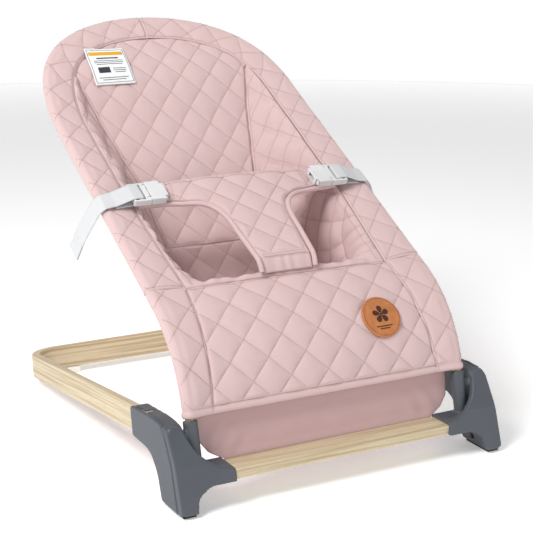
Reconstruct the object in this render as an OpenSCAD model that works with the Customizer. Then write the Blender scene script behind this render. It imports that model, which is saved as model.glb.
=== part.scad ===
// Baby bouncer seat: a quilted sling on a sprung steel hoop, held by two moulded corner
// brackets on a bent-wood floor frame. Millimetres, +Z up, +Y to the rear (head end).
// Origin: middle of the overall box, on the floor. Lengths along the sling run from its hem.

/* [Floor frame] */
// Outer width of the bent rail
rail_w = 400; // [340:1:480]
// Front of the bar to the back of the rail
frame_l = 503.5; // [440:1:640]
// Rail section, thickness
rail_t = 11; // [8:0.5:14]
// Rail section, height
rail_h = 30.4; // [24:0.1:33]
// Height of the top edge of the rail at its rear end, which sets how far it falls
rail_rear_z = 36.5; // [33:0.5:52]
// Outer radius of the rear bends
rail_bend = 45; // [30:1:80]
// Front bar, depth
bar_d = 33.4; // [28:0.1:44]
// Front bar, thickness
bar_t = 11.6; // [10:0.1:14]
// Underside of the front bar above the floor
bar_z = 27.7; // [24:0.1:32]
// Width of each rear rubber pad
rear_pad_w = 30; // [16:1:60]

/* [Corner brackets] */
// Bracket side wall, thickness without its cover
side_t = 15.5; // [14.5:0.5:20]
// Side cover, thickness
cover_t = 4.8; // [4:0.1:8]
// How far the nose of the bracket stands ahead of the cover
nose = 11; // [8:0.5:14]
// Reach of the toe ahead of the bar
toe = 12; // [6:1:20]
// Bracket width along the bar
web_w = 64; // [56:1:72]
// Collar, outer radius
collar_r = 8; // [7:0.1:10]
// Depth of the rod socket in the collar
socket_d = 42; // [25:1:46]
// Rubber foot pad, thickness
foot_t = 2.5; // [2:0.1:4]
// Screw shank radius
screw_r = 1.9; // [1.5:0.1:2.2]

/* [Seat hoop] */
// Distance between the two rods, centre to centre
rod_span = 343; // [300:1:350]
// Lower rod, radius
rod_r = 5; // [4:0.1:5.5]
// Hoop tube, wall
hoop_wall = 0.95; // [0.8:0.05:1.5]
// Lean of the rods in their sockets, degrees
socket_angle = 76; // [70:1:80]
// Lean of the straight seat, degrees
seat_angle = 28.7; // [24:0.1:34]
// Lean of the head end, degrees
head_angle = 36.5; // [34:0.1:44]
// Bend radius of the lower rods
rod_bend = 152; // [120:1:180]
// Bend radius towards the head end
head_bend = 300; // [200:1:500]
// Straight length between the two bends
straight_l = 326; // [300:1:380]
// Length of the rounded head arch
arch_l = 249; // [230:1:290]
// Overlap of rod and hoop tube
splice_l = 40; // [30:1:60]
// Snap button radius
button_r = 2; // [1.5:0.1:2.5]
// Snap button travel
button_travel = 2.2; // [1.5:0.1:2.5]

/* [Sling] */
// Height of the front panel along the sling, hem to crotch
crotch_s = 146; // [120:1:170]
// Top of the bib along the sling
bib_top_s = 316; // [306:1:330]
// Where the side of each leg hole ends at the top
leg_top_s = 291; // [285:1:296]
// Where the seat well meets the backrest
well_s = 300; // [296:1:340]
// Width of the side band from the rod centre inwards
band_w = 32; // [26:1:40]
// Slope of the backrest away from the rods
back_slope = 0.33; // [0.2:0.01:0.4]
// Depth of the seat well at its lowest point
well_d = 125; // [90:1:140]
// Quilted cloth, thickness
quilt_t = 3.2; // [2:0.1:5]
// Plain cloth, thickness
cloth_t = 1.2; // [0.8:0.1:2]
// Rise of the bib above the rods
bib_rise = 13; // [9:1:14]
// Half width of the bib tongue
tongue_hw = 32; // [26:1:40]
// Piping radius
piping_r = 2.8; // [2:0.1:4]

/* [Harness] */
// Webbing width
web_strap_w = 25; // [20:1:28]
// Webbing thickness
web_strap_t = 1.4; // [1:0.1:2]
// Buckle width
buckle_w = 32; // [30:1:38]
// Buckle thickness
buckle_t = 9; // [8:0.5:11]
// Female part, length
female_l = 22; // [20:1:28]
// Male part, length outside the female
male_l = 22; // [20:1:28]
// Distance of the parting line from the middle
buckle_x = 121; // [116:1:126]
// Place of the buckle along the sling
buckle_s = 294; // [288:1:300]
// How far the male part draws out
buckle_travel = 22; // [20:1:24]
// Turn of each release arm over that travel, degrees
arm_turn = 10; // [8:0.5:11]

/* [Trim] */
// Badge diameter
badge_d = 49; // [40:1:60]
// Care label, width
label_w = 55; // [40:1:65]
// Care label, height
label_h = 60; // [50:1:75]

/* [Hidden] */
$fn = 48;

hem_s = -6;                       // lower edge of the front sleeves and panel
bare_rod = 2.5;                   // rod showing between the collar and the hem
fit = 0.05;                       // radial play of a rod in its bore
gap = 0.3;                        // air between two soft pieces
wood_gap = 0.15;                  // air between a tenon and its pocket
eps = 0.01;

wood = "burlywood";
grey = [0.38, 0.40, 0.42];
dark = [0.16, 0.16, 0.17];
steel = [0.75, 0.72, 0.62];
pink = [0.86, 0.75, 0.75];
white = [0.93, 0.93, 0.93];
tan_hide = [0.78, 0.50, 0.30];

// ---- rods and sling: places are given as [x, s, h], x across, s along the sling from
// ---- the hem, h out of it, and turned into model places by on_sling()
rod_x = rod_span / 2;
rod_start = [40, 96];             // y and z of the rods at the hem
turn_rad = (socket_angle - seat_angle) * PI / 180;
s_straight = rod_bend * turn_rad;
s_head = s_straight + straight_l;
s_head_end = s_head + head_bend * (head_angle - seat_angle) * PI / 180;
s_arch = s_straight + 264;        // where the hoop starts to narrow
s_splice = 160;                   // lower end of the hoop tube
hoop_r = rod_r + fit + hoop_wall;
sleeve_in = hoop_r + 0.4;
sleeve_r = sleeve_in + cloth_t;

function dir(a) = [cos(a), sin(a)];
function arc_end(p, r, a0, a1) = p + r * [sin(a0) - sin(a1), cos(a1) - cos(a0)];
straight_start = arc_end(rod_start, rod_bend, socket_angle, seat_angle);
straight_end = straight_start + straight_l * dir(seat_angle);
head_start = arc_end(straight_end, -head_bend, seat_angle, head_angle);

function lean(s) =
    s < 0 ? socket_angle
    : s < s_straight ? socket_angle - s / rod_bend * 180 / PI
    : s < s_head ? seat_angle
    : s < s_head_end ? seat_angle + (s - s_head) / head_bend * 180 / PI
    : head_angle;
function spine(s) =
    s < 0 ? rod_start + s * dir(socket_angle)
    : s < s_straight ? arc_end(rod_start, rod_bend, socket_angle, lean(s))
    : s < s_head ? straight_start + (s - s_straight) * dir(seat_angle)
    : s < s_head_end ? arc_end(straight_end, -head_bend, seat_angle, lean(s))
    : head_start + (s - s_head_end) * dir(head_angle);
function on_sling(p) =
    let (c = spine(p[1]), a = lean(p[1]))
    [p[0], c[0] - p[2] * sin(a), c[1] + p[2] * cos(a)];

// The origin is the middle of the box from the toes to the back of the head sleeve
head_back = spine(s_arch + arch_l)[0] + sleeve_r;
y_mid = (head_back - toe) / 2;
module placed() translate([0, -y_mid, 0]) children();
module both_sides() {
    children();
    mirror([1, 0, 0]) children();
}
module side(right) {
    if (right) children();
    else mirror([1, 0, 0]) children();
}

// Half outline of the hoop: t from 0 at the start of the arch to 1 at the top
function arch_point(t) = let (a = 90 * t * t) [rod_x * cos(a), s_arch + arch_l * sqrt(sin(a)), 0];
arch_steps = 16;
arch_path = [for (i = [0:arch_steps]) arch_point(i / arch_steps)];
function seat_seam(s) = s < crotch_s ? 143 - 13 * max(s, 0) / crotch_s
    : 130 + 9 * min(1, (s - crotch_s) / 145);
band_scale = (rod_span / 2 - band_w) / 139.5;
function band_x(s) = band_scale * seat_seam(s);

// ---- small geometry kit
function ease(t) = t < 0 ? 0 : t > 1 ? 1 : t * t * (3 - 2 * t);
function unit(v) = v / norm(v);
function corner(a, b, c, r, n = 6) =
    let (u = unit(a - b), v = unit(c - b), half = acos(u * v) / 2,
         m = b + unit(u + v) * r / sin(half), s = b + u * r / tan(half) - m,
         e = b + v * r / tan(half) - m, a0 = atan2(s[1], s[0]),
         turn = (atan2(e[1], e[0]) - a0 + 540) % 360 - 180)
    [for (i = [0:n]) m + r * dir(a0 + turn * i / n)];
// Points are [u, v, radius of that corner]
function rounded(pts) =
    let (n = len(pts), flat = [for (p = pts) [p[0], p[1]]])
    [for (i = [0:n - 1]) each pts[i][2] > 0
        ? corner(flat[(i + n - 1) % n], flat[i], flat[(i + 1) % n], pts[i][2])
        : [flat[i]]];
// Children are drawn in the y-z plane at x and rise along +X
module from_side(x) translate([x, 0, 0]) rotate([90, 0, 90]) children();
// Children are drawn in the x-z plane and rise along +Y from y
module from_front(y) translate([0, y, 0]) rotate([90, 0, 0]) mirror([0, 0, 1]) children();
// A rod from point p of the y-z plane, leaning by a
module along(x, p, a, l, r) from_side(x) translate(p) rotate(a) rotate([0, 90, 0])
    cylinder(h = l, r = r);

function grid_faces(m, n) = [for (i = [0:m - 2], j = [0:n - 2]) let (a = i * n + j)
    each [[a, a + 1, a + n + 1], [a, a + n + 1, a + n]]];
function flip(faces) = [for (f = faces) [f[2], f[1], f[0]]];
function shifted(faces, k) = [for (f = faces) [f[0] + k, f[1] + k, f[2] + k]];
function edge_loop(m, n) = concat([for (j = [0:n - 2]) j],
    [for (i = [0:m - 2]) i * n + n - 1], [for (j = [n - 1:-1:1]) (m - 1) * n + j],
    [for (i = [m - 1:-1:1]) i * n]);
function normal_at(g, i, j) =
    let (m = len(g), n = len(g[0]),
         u = g[min(i + 1, m - 1)][j] - g[max(i - 1, 0)][j],
         v = g[i][min(j + 1, n - 1)] - g[i][max(j - 1, 0)])
    unit(cross(u, v));
// A sheet of thickness t under a grid of points: rows go up the sling, columns to +X
module sheet(g, t) {
    m = len(g);
    n = len(g[0]);
    top = [for (row = g) each row];
    under = [for (i = [0:m - 1], j = [0:n - 1]) g[i][j] + t * normal_at(g, i, j)];
    loop = edge_loop(m, n);
    k = m * n;
    rim = [for (i = [0:len(loop) - 1]) let (a = loop[i], b = loop[(i + 1) % len(loop)])
        each [[a, b + k, b], [a, a + k, b + k]]];
    polyhedron(concat(top, under), flip(concat(grid_faces(m, n),
        flip(shifted(grid_faces(m, n), k)), rim)), convexity = 6);
}
// A closed skin over rings of points, with flat ends
function ring_faces(m, n) = [for (i = [0:m - 2], j = [0:n - 1])
    let (a = i * n + j, b = i * n + (j + 1) % n) each [[a, b, b + n], [a, b + n, a + n]]];
module skin(rings) {
    m = len(rings);
    n = len(rings[0]);
    polyhedron([for (r = rings) each r], concat(ring_faces(m, n),
        [[for (j = [n - 1:-1:0]) j]], [[for (j = [0:n - 1]) (m - 1) * n + j]]), convexity = 6);
}
// The same with a channel through it: outer and inner rings have equal counts
module sleeve_skin(outer, inner) {
    m = len(outer);
    n = len(outer[0]);
    k = m * n;
    ends = [for (j = [0:n - 1]) let (i = (j + 1) % n, e = (m - 1) * n)
        each [[j, j + k, i + k], [j, i + k, i], [e + j, e + i + k, e + j + k], [e + j, e + i, e + i + k]]];
    polyhedron(concat([for (r = outer) each r], [for (r = inner) each r]),
        concat(ring_faces(m, n), flip(shifted(ring_faces(m, n), k)), ends), convexity = 8);
}
// Rings of a section set square to a path of [x, s, h] points; section is [out, up]
function path_frame(path, i) =
    let (n = len(path), a = on_sling(path[max(i - 1, 0)]), b = on_sling(path[min(i + 1, n - 1)]),
         up = [0, -sin(lean(path[i][1])), cos(lean(path[i][1]))],
         t = abs(path[i][0]) <= gap ? [-1, 0, 0] : unit(b - a), out = unit(cross(t, up)))
    [out, unit(cross(out, t))];
function swept(path, section) = [for (i = [0:len(path) - 1])
    let (f = path_frame(path, i), c = on_sling(path[i]), sec = section(path[i]))
    [for (q = sec) c + q[0] * f[0] + q[1] * f[1]]];
function circle_section(r, n) = [for (i = [0:n - 1]) r * dir(360 * i / n)];

// ---- floor frame
// The rail stands on edge and falls to the rear about a line across its front end
rail_pivot = [124, 81.1];
rail_fall = atan((rail_pivot[1] - rail_rear_z) / (frame_l - rail_pivot[0]));
rail_from = 84;                   // front end of the rail in the bracket, along y
module in_rail_plane() translate([0, rail_pivot[0], rail_pivot[1]]) rotate([-rail_fall, 0, 0])
    translate([0, -rail_pivot[0], 0]) children();
rail_back = rail_pivot[0] + (frame_l - rail_pivot[0]) / cos(rail_fall);
module rail_outline(w, r, y0, back) {
    h = w / 2;
    polygon(rounded([[-h, y0, 0], [h, y0, 0], [h, back, r], [-h, back, r]]));
}
module base_rail() color(wood) placed() difference() {
    in_rail_plane() translate([0, 0, -rail_h]) difference() {
        bent_block(rail_w, rail_bend, rail_back, rail_from);
        translate([0, 0, -1]) bent_block(rail_w - 2 * rail_t, rail_bend - rail_t,
            rail_back - rail_t, rail_from - 1, rail_h + 2);
    }
    both_sides() rail_screw_places() {
        cylinder(h = rail_t + 2, r = screw_r + fit);
        translate([0, 0, -eps]) cylinder(h = screw_head_h + gap, r = screw_head_r + fit);
    }
}
// A block with two round rear corners, made from true cylinders
module bent_block(w, r, back, y0, h = rail_h) union() {
    translate([-w / 2, y0, 0]) cube([w, back - r - y0, h]);
    translate([-w / 2 + r, y0, 0]) cube([w - 2 * r, back - y0, h]);
    both_sides() translate([w / 2 - r, back - r, 0]) cylinder(h = h, r = r);
}
tenon_l = 22;
tenon_side = 3;
tenon_t = 5.6;
tenon_z = bar_z + 3.2;
bar_hw = rail_w / 2 - web_w;      // half the bar's free length
module bar_tenon(grow = 0) translate([-bar_hw - tenon_l - grow, tenon_side - grow, tenon_z - grow])
    cube([2 * (bar_hw + tenon_l + grow), bar_d - 2 * tenon_side + 2 * grow, tenon_t + 2 * grow]);
module front_bar() color(wood) placed() difference() {
    union() {
        translate([-bar_hw, 0, bar_z]) cube([2 * bar_hw, bar_d, bar_t]);
        bar_tenon();
    }
    both_sides() bar_screw_places() cylinder(h = bar_screw_l + gap, r = screw_r + fit);
    stud_places() cylinder(h = stud_l, r = stud_r + fit);
}
module rear_pads() color(dark) placed() both_sides() difference() {
    in_rail_plane() translate([rail_w / 2 - rail_bend - rear_pad_w, rail_back - rail_t, -rail_h - 12])
        cube([rear_pad_w, rail_t, 12]);
    translate([0, 0, -30]) cube([rail_w, 2 * frame_l, 30]);
}

// ---- corner brackets, drawn on the right-hand side
wall_out = rail_w / 2;
wall_in = wall_out - side_t;
shelf_z = bar_z + bar_t + 1.9;
knee = [4, 50];
brow = [28, 87];
heel_y = 40;
arm_y = 122;
rail_top_at_arm = rail_pivot[1] + 2.4;
rail_low_at_arm = rail_top_at_arm - rail_h + 0.9;
side_points = [
    [-toe, foot_t, 4], [heel_y, foot_t, 6], [50, 30, 40], [68, 49, 30],
    [arm_y - 6, rail_low_at_arm - 3.5, 3], [arm_y, rail_top_at_arm, 4], [60, 88.5, 60],
    [brow[0], brow[1], 20], [knee[0], knee[1], 60]
];
// The line between the nose and the cover, and all that lies behind it
module behind_nose(shift) polygon([
    [-toe + nose - shift, -1], [200, -1], [200, 120], [brow[0] + nose - shift + 8, 120],
    [brow[0] + nose - shift, brow[1] - 2], [brow[0] + nose - 8 - shift, brow[1] - 10],
    [knee[0] + nose - shift, knee[1]]
]);
web_front = [
    [bar_hw, bar_z - 0.5, 0], [166, bar_z - 0.5, 20], [wall_in - 2, 18, 14],
    [wall_in, foot_t, 0], [wall_out, foot_t, 0], [wall_out, 88, 0], [188, 86, 6],
    [177, 62, 30], [158, 45, 40], [bar_hw, shelf_z - 0.4, 0]
];
web_side = [
    [-toe, foot_t], knee, brow, brow + [8, 0], knee + [8, 0], [knee[0] + 7, shelf_z],
    [bar_d + 3, shelf_z], [bar_d + 3, foot_t]
];
collar_mouth = spine(hem_s - bare_rod);
collar_l = 54;
module bracket() difference() {
    union() {
        from_side(wall_in) linear_extrude(side_t + cover_t - 0.6) polygon(rounded(side_points));
        intersection() {
            from_front(-toe - 1) linear_extrude(60) polygon(rounded(web_front));
            from_side(bar_hw) linear_extrude(web_w) polygon(web_side);
        }
        along(rod_x, collar_mouth - collar_l * dir(socket_angle), socket_angle, collar_l, collar_r);
        from_side(rod_x) translate(collar_mouth) rotate(socket_angle)
            translate([-collar_l + 4, -5, 0]) cube([collar_l - 14, 10, wall_in - rod_x + 1]);
    }
    from_side(wall_out) linear_extrude(20) behind_nose(gap);
    translate([0, 0, -1]) cube([rail_w, 200, foot_t + 1 - eps]);
    along(rod_x, collar_mouth - socket_d * dir(socket_angle), socket_angle, socket_d + 1, rod_r + fit);
    bar_tenon(wood_gap);
    in_rail_plane() translate([wall_out - rail_t - wood_gap, rail_from - wood_gap, -rail_h - wood_gap])
        cube([rail_t + 20, 100, rail_h + 2 * wood_gap]);
    rail_screw_places() translate([0, 0, rail_t]) cylinder(h = 3.2, r = screw_r + fit);
    bar_screw_places() {
        cylinder(h = bar_screw_l, r = screw_r + fit);
        translate([0, 0, -4]) cylinder(h = 4 + screw_head_h, r = screw_head_r + fit);
    }
    cover_screw_places() {
        cylinder(h = side_t + 1, r = screw_r + fit);
        translate([0, 0, -1]) cylinder(h = 1 + cover_sink + screw_head_h, r = screw_head_r + 0.6);
    }
}
module side_cover() difference() {
    intersection() {
        from_side(wall_out + 0.2) linear_extrude(cover_t) polygon(rounded(side_points));
        from_side(wall_out) linear_extrude(20) behind_nose(0);
    }
    cover_screw_places() cylinder(h = cover_sink + cover_screw_l + gap, r = screw_r + fit);
}
module foot_pad() translate([wall_in + 2, -toe + 4, 0]) cube([side_t - 1, heel_y + toe - 10, foot_t]);

module left_bracket() color(grey) placed() side(false) bracket();
module right_bracket() color(grey) placed() side(true) bracket();
module left_side_cover() color(grey) placed() side(false) side_cover();
module right_side_cover() color(grey) placed() side(true) side_cover();
module left_foot_pad() color(dark) placed() side(false) foot_pad();
module right_foot_pad() color(dark) placed() side(true) foot_pad();

// ---- fasteners: each place puts +Z along its screw, head at zero
screw_head_r = 3.6;
screw_head_h = 2.2;
rail_screw_l = rail_t + 2.8;
bar_screw_l = 9.5;
cover_sink = 4;
cover_screw_l = side_t - cover_sink + 0.2 + cover_t - 1.6;
stud_r = 1.5;
stud_head_h = 1.2;
stud_l = 9.6;
panel_gap = 0.5;                  // air between the bar and the lower panel
module rail_screw_places() for (p = [[94, 70], [108, 69]])
    translate([wall_out, p[0], p[1]]) rotate([0, -90, 0]) children();
module bar_screw_places() for (y = [bar_d / 4, bar_d * 3 / 4])
    translate([bar_hw + 12, y, bar_z - 0.5]) children();
module cover_screw_places() for (p = [[20, 12], [64, 70]])
    translate([wall_in, p[0], p[1]]) rotate([0, 90, 0]) children();
module stud_places() for (x = [-102, -34, 34, 102])
    translate([x, bar_d + panel_gap + quilt_t + gap + stud_head_h, bar_z + bar_t / 2])
        rotate([90, 0, 0]) children();
module screw(l) difference() {
    union() {
        cylinder(h = screw_head_h, r = screw_head_r);
        cylinder(h = l, r = screw_r);
    }
    for (a = [0, 90]) rotate(a) translate([-2, -0.5, -eps]) cube([4, 1, 1.2]);
}
module rail_screws() color(steel) placed() both_sides() rail_screw_places() screw(rail_screw_l);
module bar_screws() color(steel) placed() both_sides() bar_screw_places() screw(bar_screw_l);
module cover_screws() color(steel) placed() both_sides() cover_screw_places()
    translate([0, 0, cover_sink]) screw(cover_screw_l);
module panel_studs() color(steel) placed() stud_places() {
    cylinder(h = stud_head_h, r = 5);
    cylinder(h = stud_l - 0.5, r = stud_r);
}

// ---- rods, hoop and snap joints
rod_end_s = s_splice + splice_l;
button_s = s_splice + splice_l / 2;
bore_r = rod_r - 1.2;
tube_n = 16;                      // sides of the bent tubes
round_up = 1 / cos(180 / tube_n); // keeps a many-sided bore clear of the rod in it
tail_l = norm(rod_start - collar_mouth) + socket_d - 1;
rod_path = [for (s = [-tail_l, 0, for (i = [1:7]) i * s_straight / 8, s_straight, rod_end_s])
    [rod_x, s, 0]];
module at_button() multmatrix([
    [0, 0, -1, rod_x], [cos(seat_angle), sin(seat_angle), 0, spine(button_s)[0]],
    [sin(seat_angle), -cos(seat_angle), 0, spine(button_s)[1]], [0, 0, 0, 1]]) children();
module tube(path, r, bore) sleeve_skin(swept(path, function(p) circle_section(r, tube_n)),
    swept(path, function(p) circle_section(bore, tube_n)));
module lower_rod() difference() {
    tube(rod_path, rod_r, bore_r);
    at_button() cylinder(h = 12, r = button_r + fit);
}
module left_lower_rod() color(steel) placed() side(false) lower_rod();
module right_lower_rod() color(steel) placed() side(true) lower_rod();

hoop_half = concat([[rod_x, s_splice, 0]], arch_path);
hoop_path = concat(hoop_half, [for (i = [len(hoop_half) - 2:-1:0])
    [-hoop_half[i][0], hoop_half[i][1], 0]]);
module seat_hoop() color(steel) placed() difference() {
    tube(hoop_path, hoop_r, (rod_r + fit) * round_up);
    both_sides() at_button() cylinder(h = 12, r = button_r + fit);
}
module snap_button() at_button() {
    translate([0, 0, -0.8]) cylinder(h = hoop_r + button_travel + 0.8, r = button_r);
}
module button_spring() at_button() {
    translate([-14, -1.5, -1.4]) cube([28, 3, 0.4]);
    translate([-14.4, -1.5, -bore_r + 1]) cube([0.4, 3, 1.8]);
}
module left_snap_button() color(steel) placed() side(false) snap_button();
module right_snap_button() color(steel) placed() side(true) snap_button();
module left_button_spring() color(steel) placed() side(false) button_spring();
module right_button_spring() color(steel) placed() side(true) button_spring();

// ---- sling: sleeves with a channel for the rod and a flat band to the seam
fold_angles = [-105, -80, -55, -30, 0, 30, 55, 80, 105];
function sleeve_outer(w) = concat([for (a = fold_angles) sleeve_r * dir(a)],
    [[-9, 6.3], [-19, 3.8], [-w, quilt_t / 2], [-w, -quilt_t / 2], [-19, -3.8], [-9, -6.3]]);
function sleeve_channel(w) = concat([for (a = fold_angles) sleeve_in / cos(13) * dir(a)],
    [[-9, 5], [-15, 3], [-20, 0.6], [-20, -0.6], [-15, -3], [-9, -5]]);
function mirrored(rings) = [for (r = rings) [for (i = [len(r) - 1:-1:0]) [-r[i][0], r[i][1], r[i][2]]]];
module sleeve_piece(path, right, width) {
    outer = swept(path, function(p) sleeve_outer(width(p)));
    inner = swept(path, function(p) sleeve_channel(width(p)));
    sleeve_skin(right ? outer : mirrored(outer), right ? inner : mirrored(inner));
}
front_steps = 6;
front_path = [for (s = [hem_s, 0, for (i = [1:front_steps]) i * s_straight / front_steps,
    crotch_s - gap]) [rod_x, s, 0]];
side_path = concat([for (s = [crotch_s + gap, leg_top_s]) [rod_x, s, 0]],
    [for (i = [0:arch_steps - 1]) arch_path[i]], [[gap, s_arch + arch_l, 0]]);
function front_width(p) = rod_x - band_x(p[1]);
function side_width(p) = p[1] < s_arch ? rod_x - band_x(p[1]) : band_w;
module left_front_sleeve() color(pink) placed() sleeve_piece(front_path, false, function(p) front_width(p));
module right_front_sleeve() color(pink) placed() sleeve_piece(front_path, true, function(p) front_width(p));
module left_side_sleeve() color(pink) placed() sleeve_piece(side_path, false, function(p) side_width(p));
module right_side_sleeve() color(pink) placed() sleeve_piece(side_path, true, function(p) side_width(p));

// Front panel between the side seams
panel_rows = 8;
panel_cols = 8;
module front_panel() color(pink) placed() sheet([for (i = [0:panel_rows])
    let (s = hem_s + (crotch_s - hem_s) * i / panel_rows, w = band_x(s) - gap)
    [for (j = [0:panel_cols]) on_sling([w * (2 * j / panel_cols - 1), s, quilt_t / 2])]], quilt_t);

// Backrest and well: one hanging surface. Its depth at the middle follows back_depth()
// down to well_s, then a curve round the seat and up to the crotch.
function back_depth(s) = let (d = back_slope * (548 - s)) d > 8 ? d : d < -8 ? 0 : (d + 8) * (d + 8) / 32;
function centre_hw(s) = 81 + (s < 389 ? 0.08 : 0.27) * (s - 389);
function inner_band_x(s) = s < s_arch ? band_x(s) : arch_inset(s);
// Half width of the area inside the arch's band, at s
function arch_inset(s) = let (t = min(1, (s - s_arch) / (arch_l - band_w)))
    (rod_x - band_w) * sqrt(max(0, 1 - pow(t, 4)));
function bezier(p, t) = pow(1 - t, 3) * p[0] + 3 * t * pow(1 - t, 2) * p[1]
    + 3 * t * t * (1 - t) * p[2] + pow(t, 3) * p[3];
well_curve = [[well_s, back_depth(well_s)], [well_s - 78, back_depth(well_s) + 26],
    [crotch_s + 26, well_d + 15], [crotch_s + quilt_t + 2, 4]];
tuck = quilt_t / 2 + gap;         // how far the hanging cloth's edge lies below the band
// u runs 0 at the backrest to 1 at the crotch; r runs -1 to 1 across
function well_point(u, r) =
    let (c = bezier(well_curve, u), edge = well_s + (crotch_s + 5 - well_s) * u,
         k = centre_hw(well_s) / inner_band_x(well_s) + 0.15 * sin(180 * u), a = abs(r),
         f = 1 - ease((a - k) / (1 - k)))
    [r * (inner_band_x(edge) - gap), c[0] * f + edge * (1 - f), -c[1] * f - tuck * (1 - f)];
function back_point(s, x) =
    let (b = inner_band_x(s), k = min(centre_hw(s), b - 1),
         f = 1 - ease((abs(x) - k) / (b - k)))
    [x, s, -back_depth(s) * f - tuck * (1 - f)];
module seat_well() color(pink) placed() sheet([for (i = [0:9]) let (u = 1 - i / 9)
    [for (j = [-8:8]) on_sling(well_point(u, j / 8))]], quilt_t);

back_start = well_s + 1;          // a seam's width above the well
back_rows = [for (i = [0:7]) back_start + (548 - back_start) * i / 7];
back_top = s_arch + arch_l - band_w - 2;
// Centre panel: straight seams below, then the round top inside the head band
centre_rows = concat(back_rows, [for (i = [1:5]) 548 + (back_top - 548) * sin(18 * i)]);
function centre_panel_hw(s) = min(centre_hw(s), inner_band_x(s) - gap) - gap;
module back_panel() color(pink) placed() sheet([for (s = centre_rows)
    let (w = max(2, centre_panel_hw(s))) [for (j = [-5:5]) on_sling(back_point(s, w * j / 5))]], quilt_t);
gusset_rows = [for (i = [0:6]) back_start + (540 - back_start) * i / 6];
module gusset(right) sheet([for (s = gusset_rows)
    let (a = centre_hw(s) + gap, b = inner_band_x(s) - gap)
    [for (j = [0:4]) let (x = a + (b - a) * (right ? j : 4 - j) / 4)
        on_sling(back_point(s, right ? x : -x))]], quilt_t);
module left_gusset() color(pink) placed() gusset(false);
module right_gusset() color(pink) placed() gusset(true);

// Bib: a tongue from the crotch that spreads into two wings under the buckles
wing_hw = 133;
bib_outline = [[crotch_s + 2, tongue_hw - 1], [crotch_s + 14, tongue_hw], [200, tongue_hw + 3],
    [238, tongue_hw + 6], [260, tongue_hw + 15], [272, tongue_hw + 30], [280, 85], [286, 112],
    [leg_top_s, wing_hw], [298, 122], [306, 106], [bib_top_s, 97]];
function bib_h(x, s) = 1.2 + (bib_rise - 1.2) * (1 - pow(min(1, abs(x) / 142), 2.5))
    * (s < crotch_s + 20 ? sin(90 * max(0, s - crotch_s) / 20) : 1);
module bib() color(pink) placed() sheet([for (p = bib_outline)
    [for (j = [-6:6]) let (x = p[1] * j / 6) on_sling([x, p[0], bib_h(x, p[0]) + quilt_t])]], quilt_t);
// Piping along the edge of each leg hole, clear of the bib's own edge. It sinks beside
// the bib before it passes under the buckle.
piping_off = piping_r + gap + 0.6;
piping_path = [for (i = [0:8]) let (p = bib_outline[i], a = bib_outline[max(i - 1, 0)],
    b = bib_outline[i + 1 > 8 ? 8 : i + 1], t = unit([b[1] - a[1], b[0] - a[0]]),
    x = p[1] + piping_off * t[1], s = p[0] - piping_off * t[0])
    [min(x, wing_hw - 1), i == 0 ? crotch_s + 1 : s,
        bib_h(min(x, wing_hw), p[0]) + piping_r - (piping_r - gap) * ease((x - 60) / 25)]];
module piping(right) {
    rings = swept(piping_path, function(p) circle_section(piping_r, 8));
    skin(right ? rings : mirrored(rings));
}
module left_piping() color(pink) placed() piping(false);
module right_piping() color(pink) placed() piping(true);

// Plain panel that hangs behind the hem and is studded to the back of the front bar
panel_low_hw = 122;
panel_high_hw = 162;
panel_y = bar_d + panel_gap;
lower_rows = [[bar_z + 1, panel_y, panel_low_hw - 14], [bar_z + 5, panel_y, panel_low_hw],
    [bar_z + bar_t, panel_y, panel_low_hw + 10], [48, panel_y + 4, panel_low_hw + 24],
    [60, panel_y + 7, panel_high_hw - 4], [80, panel_y + 13, panel_high_hw],
    [112, panel_y + 22, panel_high_hw - 2]];
module lower_panel() color(pink) placed() difference() {
    sheet([for (r = lower_rows) [for (j = [-6:6]) [r[2] * j / 6, r[1], r[0]]]], quilt_t);
    stud_places() translate([0, 0, -1]) cylinder(h = 12, r = stud_r + fit);
}

// ---- badge and label lie on the cloth
badge_at = [83.5, 67];
module badge() color(tan_hide) placed() translate(on_sling([badge_at[0], badge_at[1], quilt_t / 2 + 2.6]))
    rotate([lean(badge_at[1]), 0, 0]) cylinder(h = 2.2, r = badge_d / 2);
label_at = [-71, 557];
label_t = 0.8;
// Height of the cloth under the label: the backrest, then up on to the band
function label_rest(x, s) = back_point(s, x)[2] + (quilt_t + tuck) * ease((abs(x) - inner_band_x(s)) / 12 + 1);
module care_label() color(white) placed() sheet([for (i = [-3:3]) [for (j = [-3:3])
    let (x = label_at[0] + label_w * j / 6, s = label_at[1] + label_h * i / 6)
    on_sling([x, s, label_rest(x, s) + gap + label_t])]], label_t);

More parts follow.
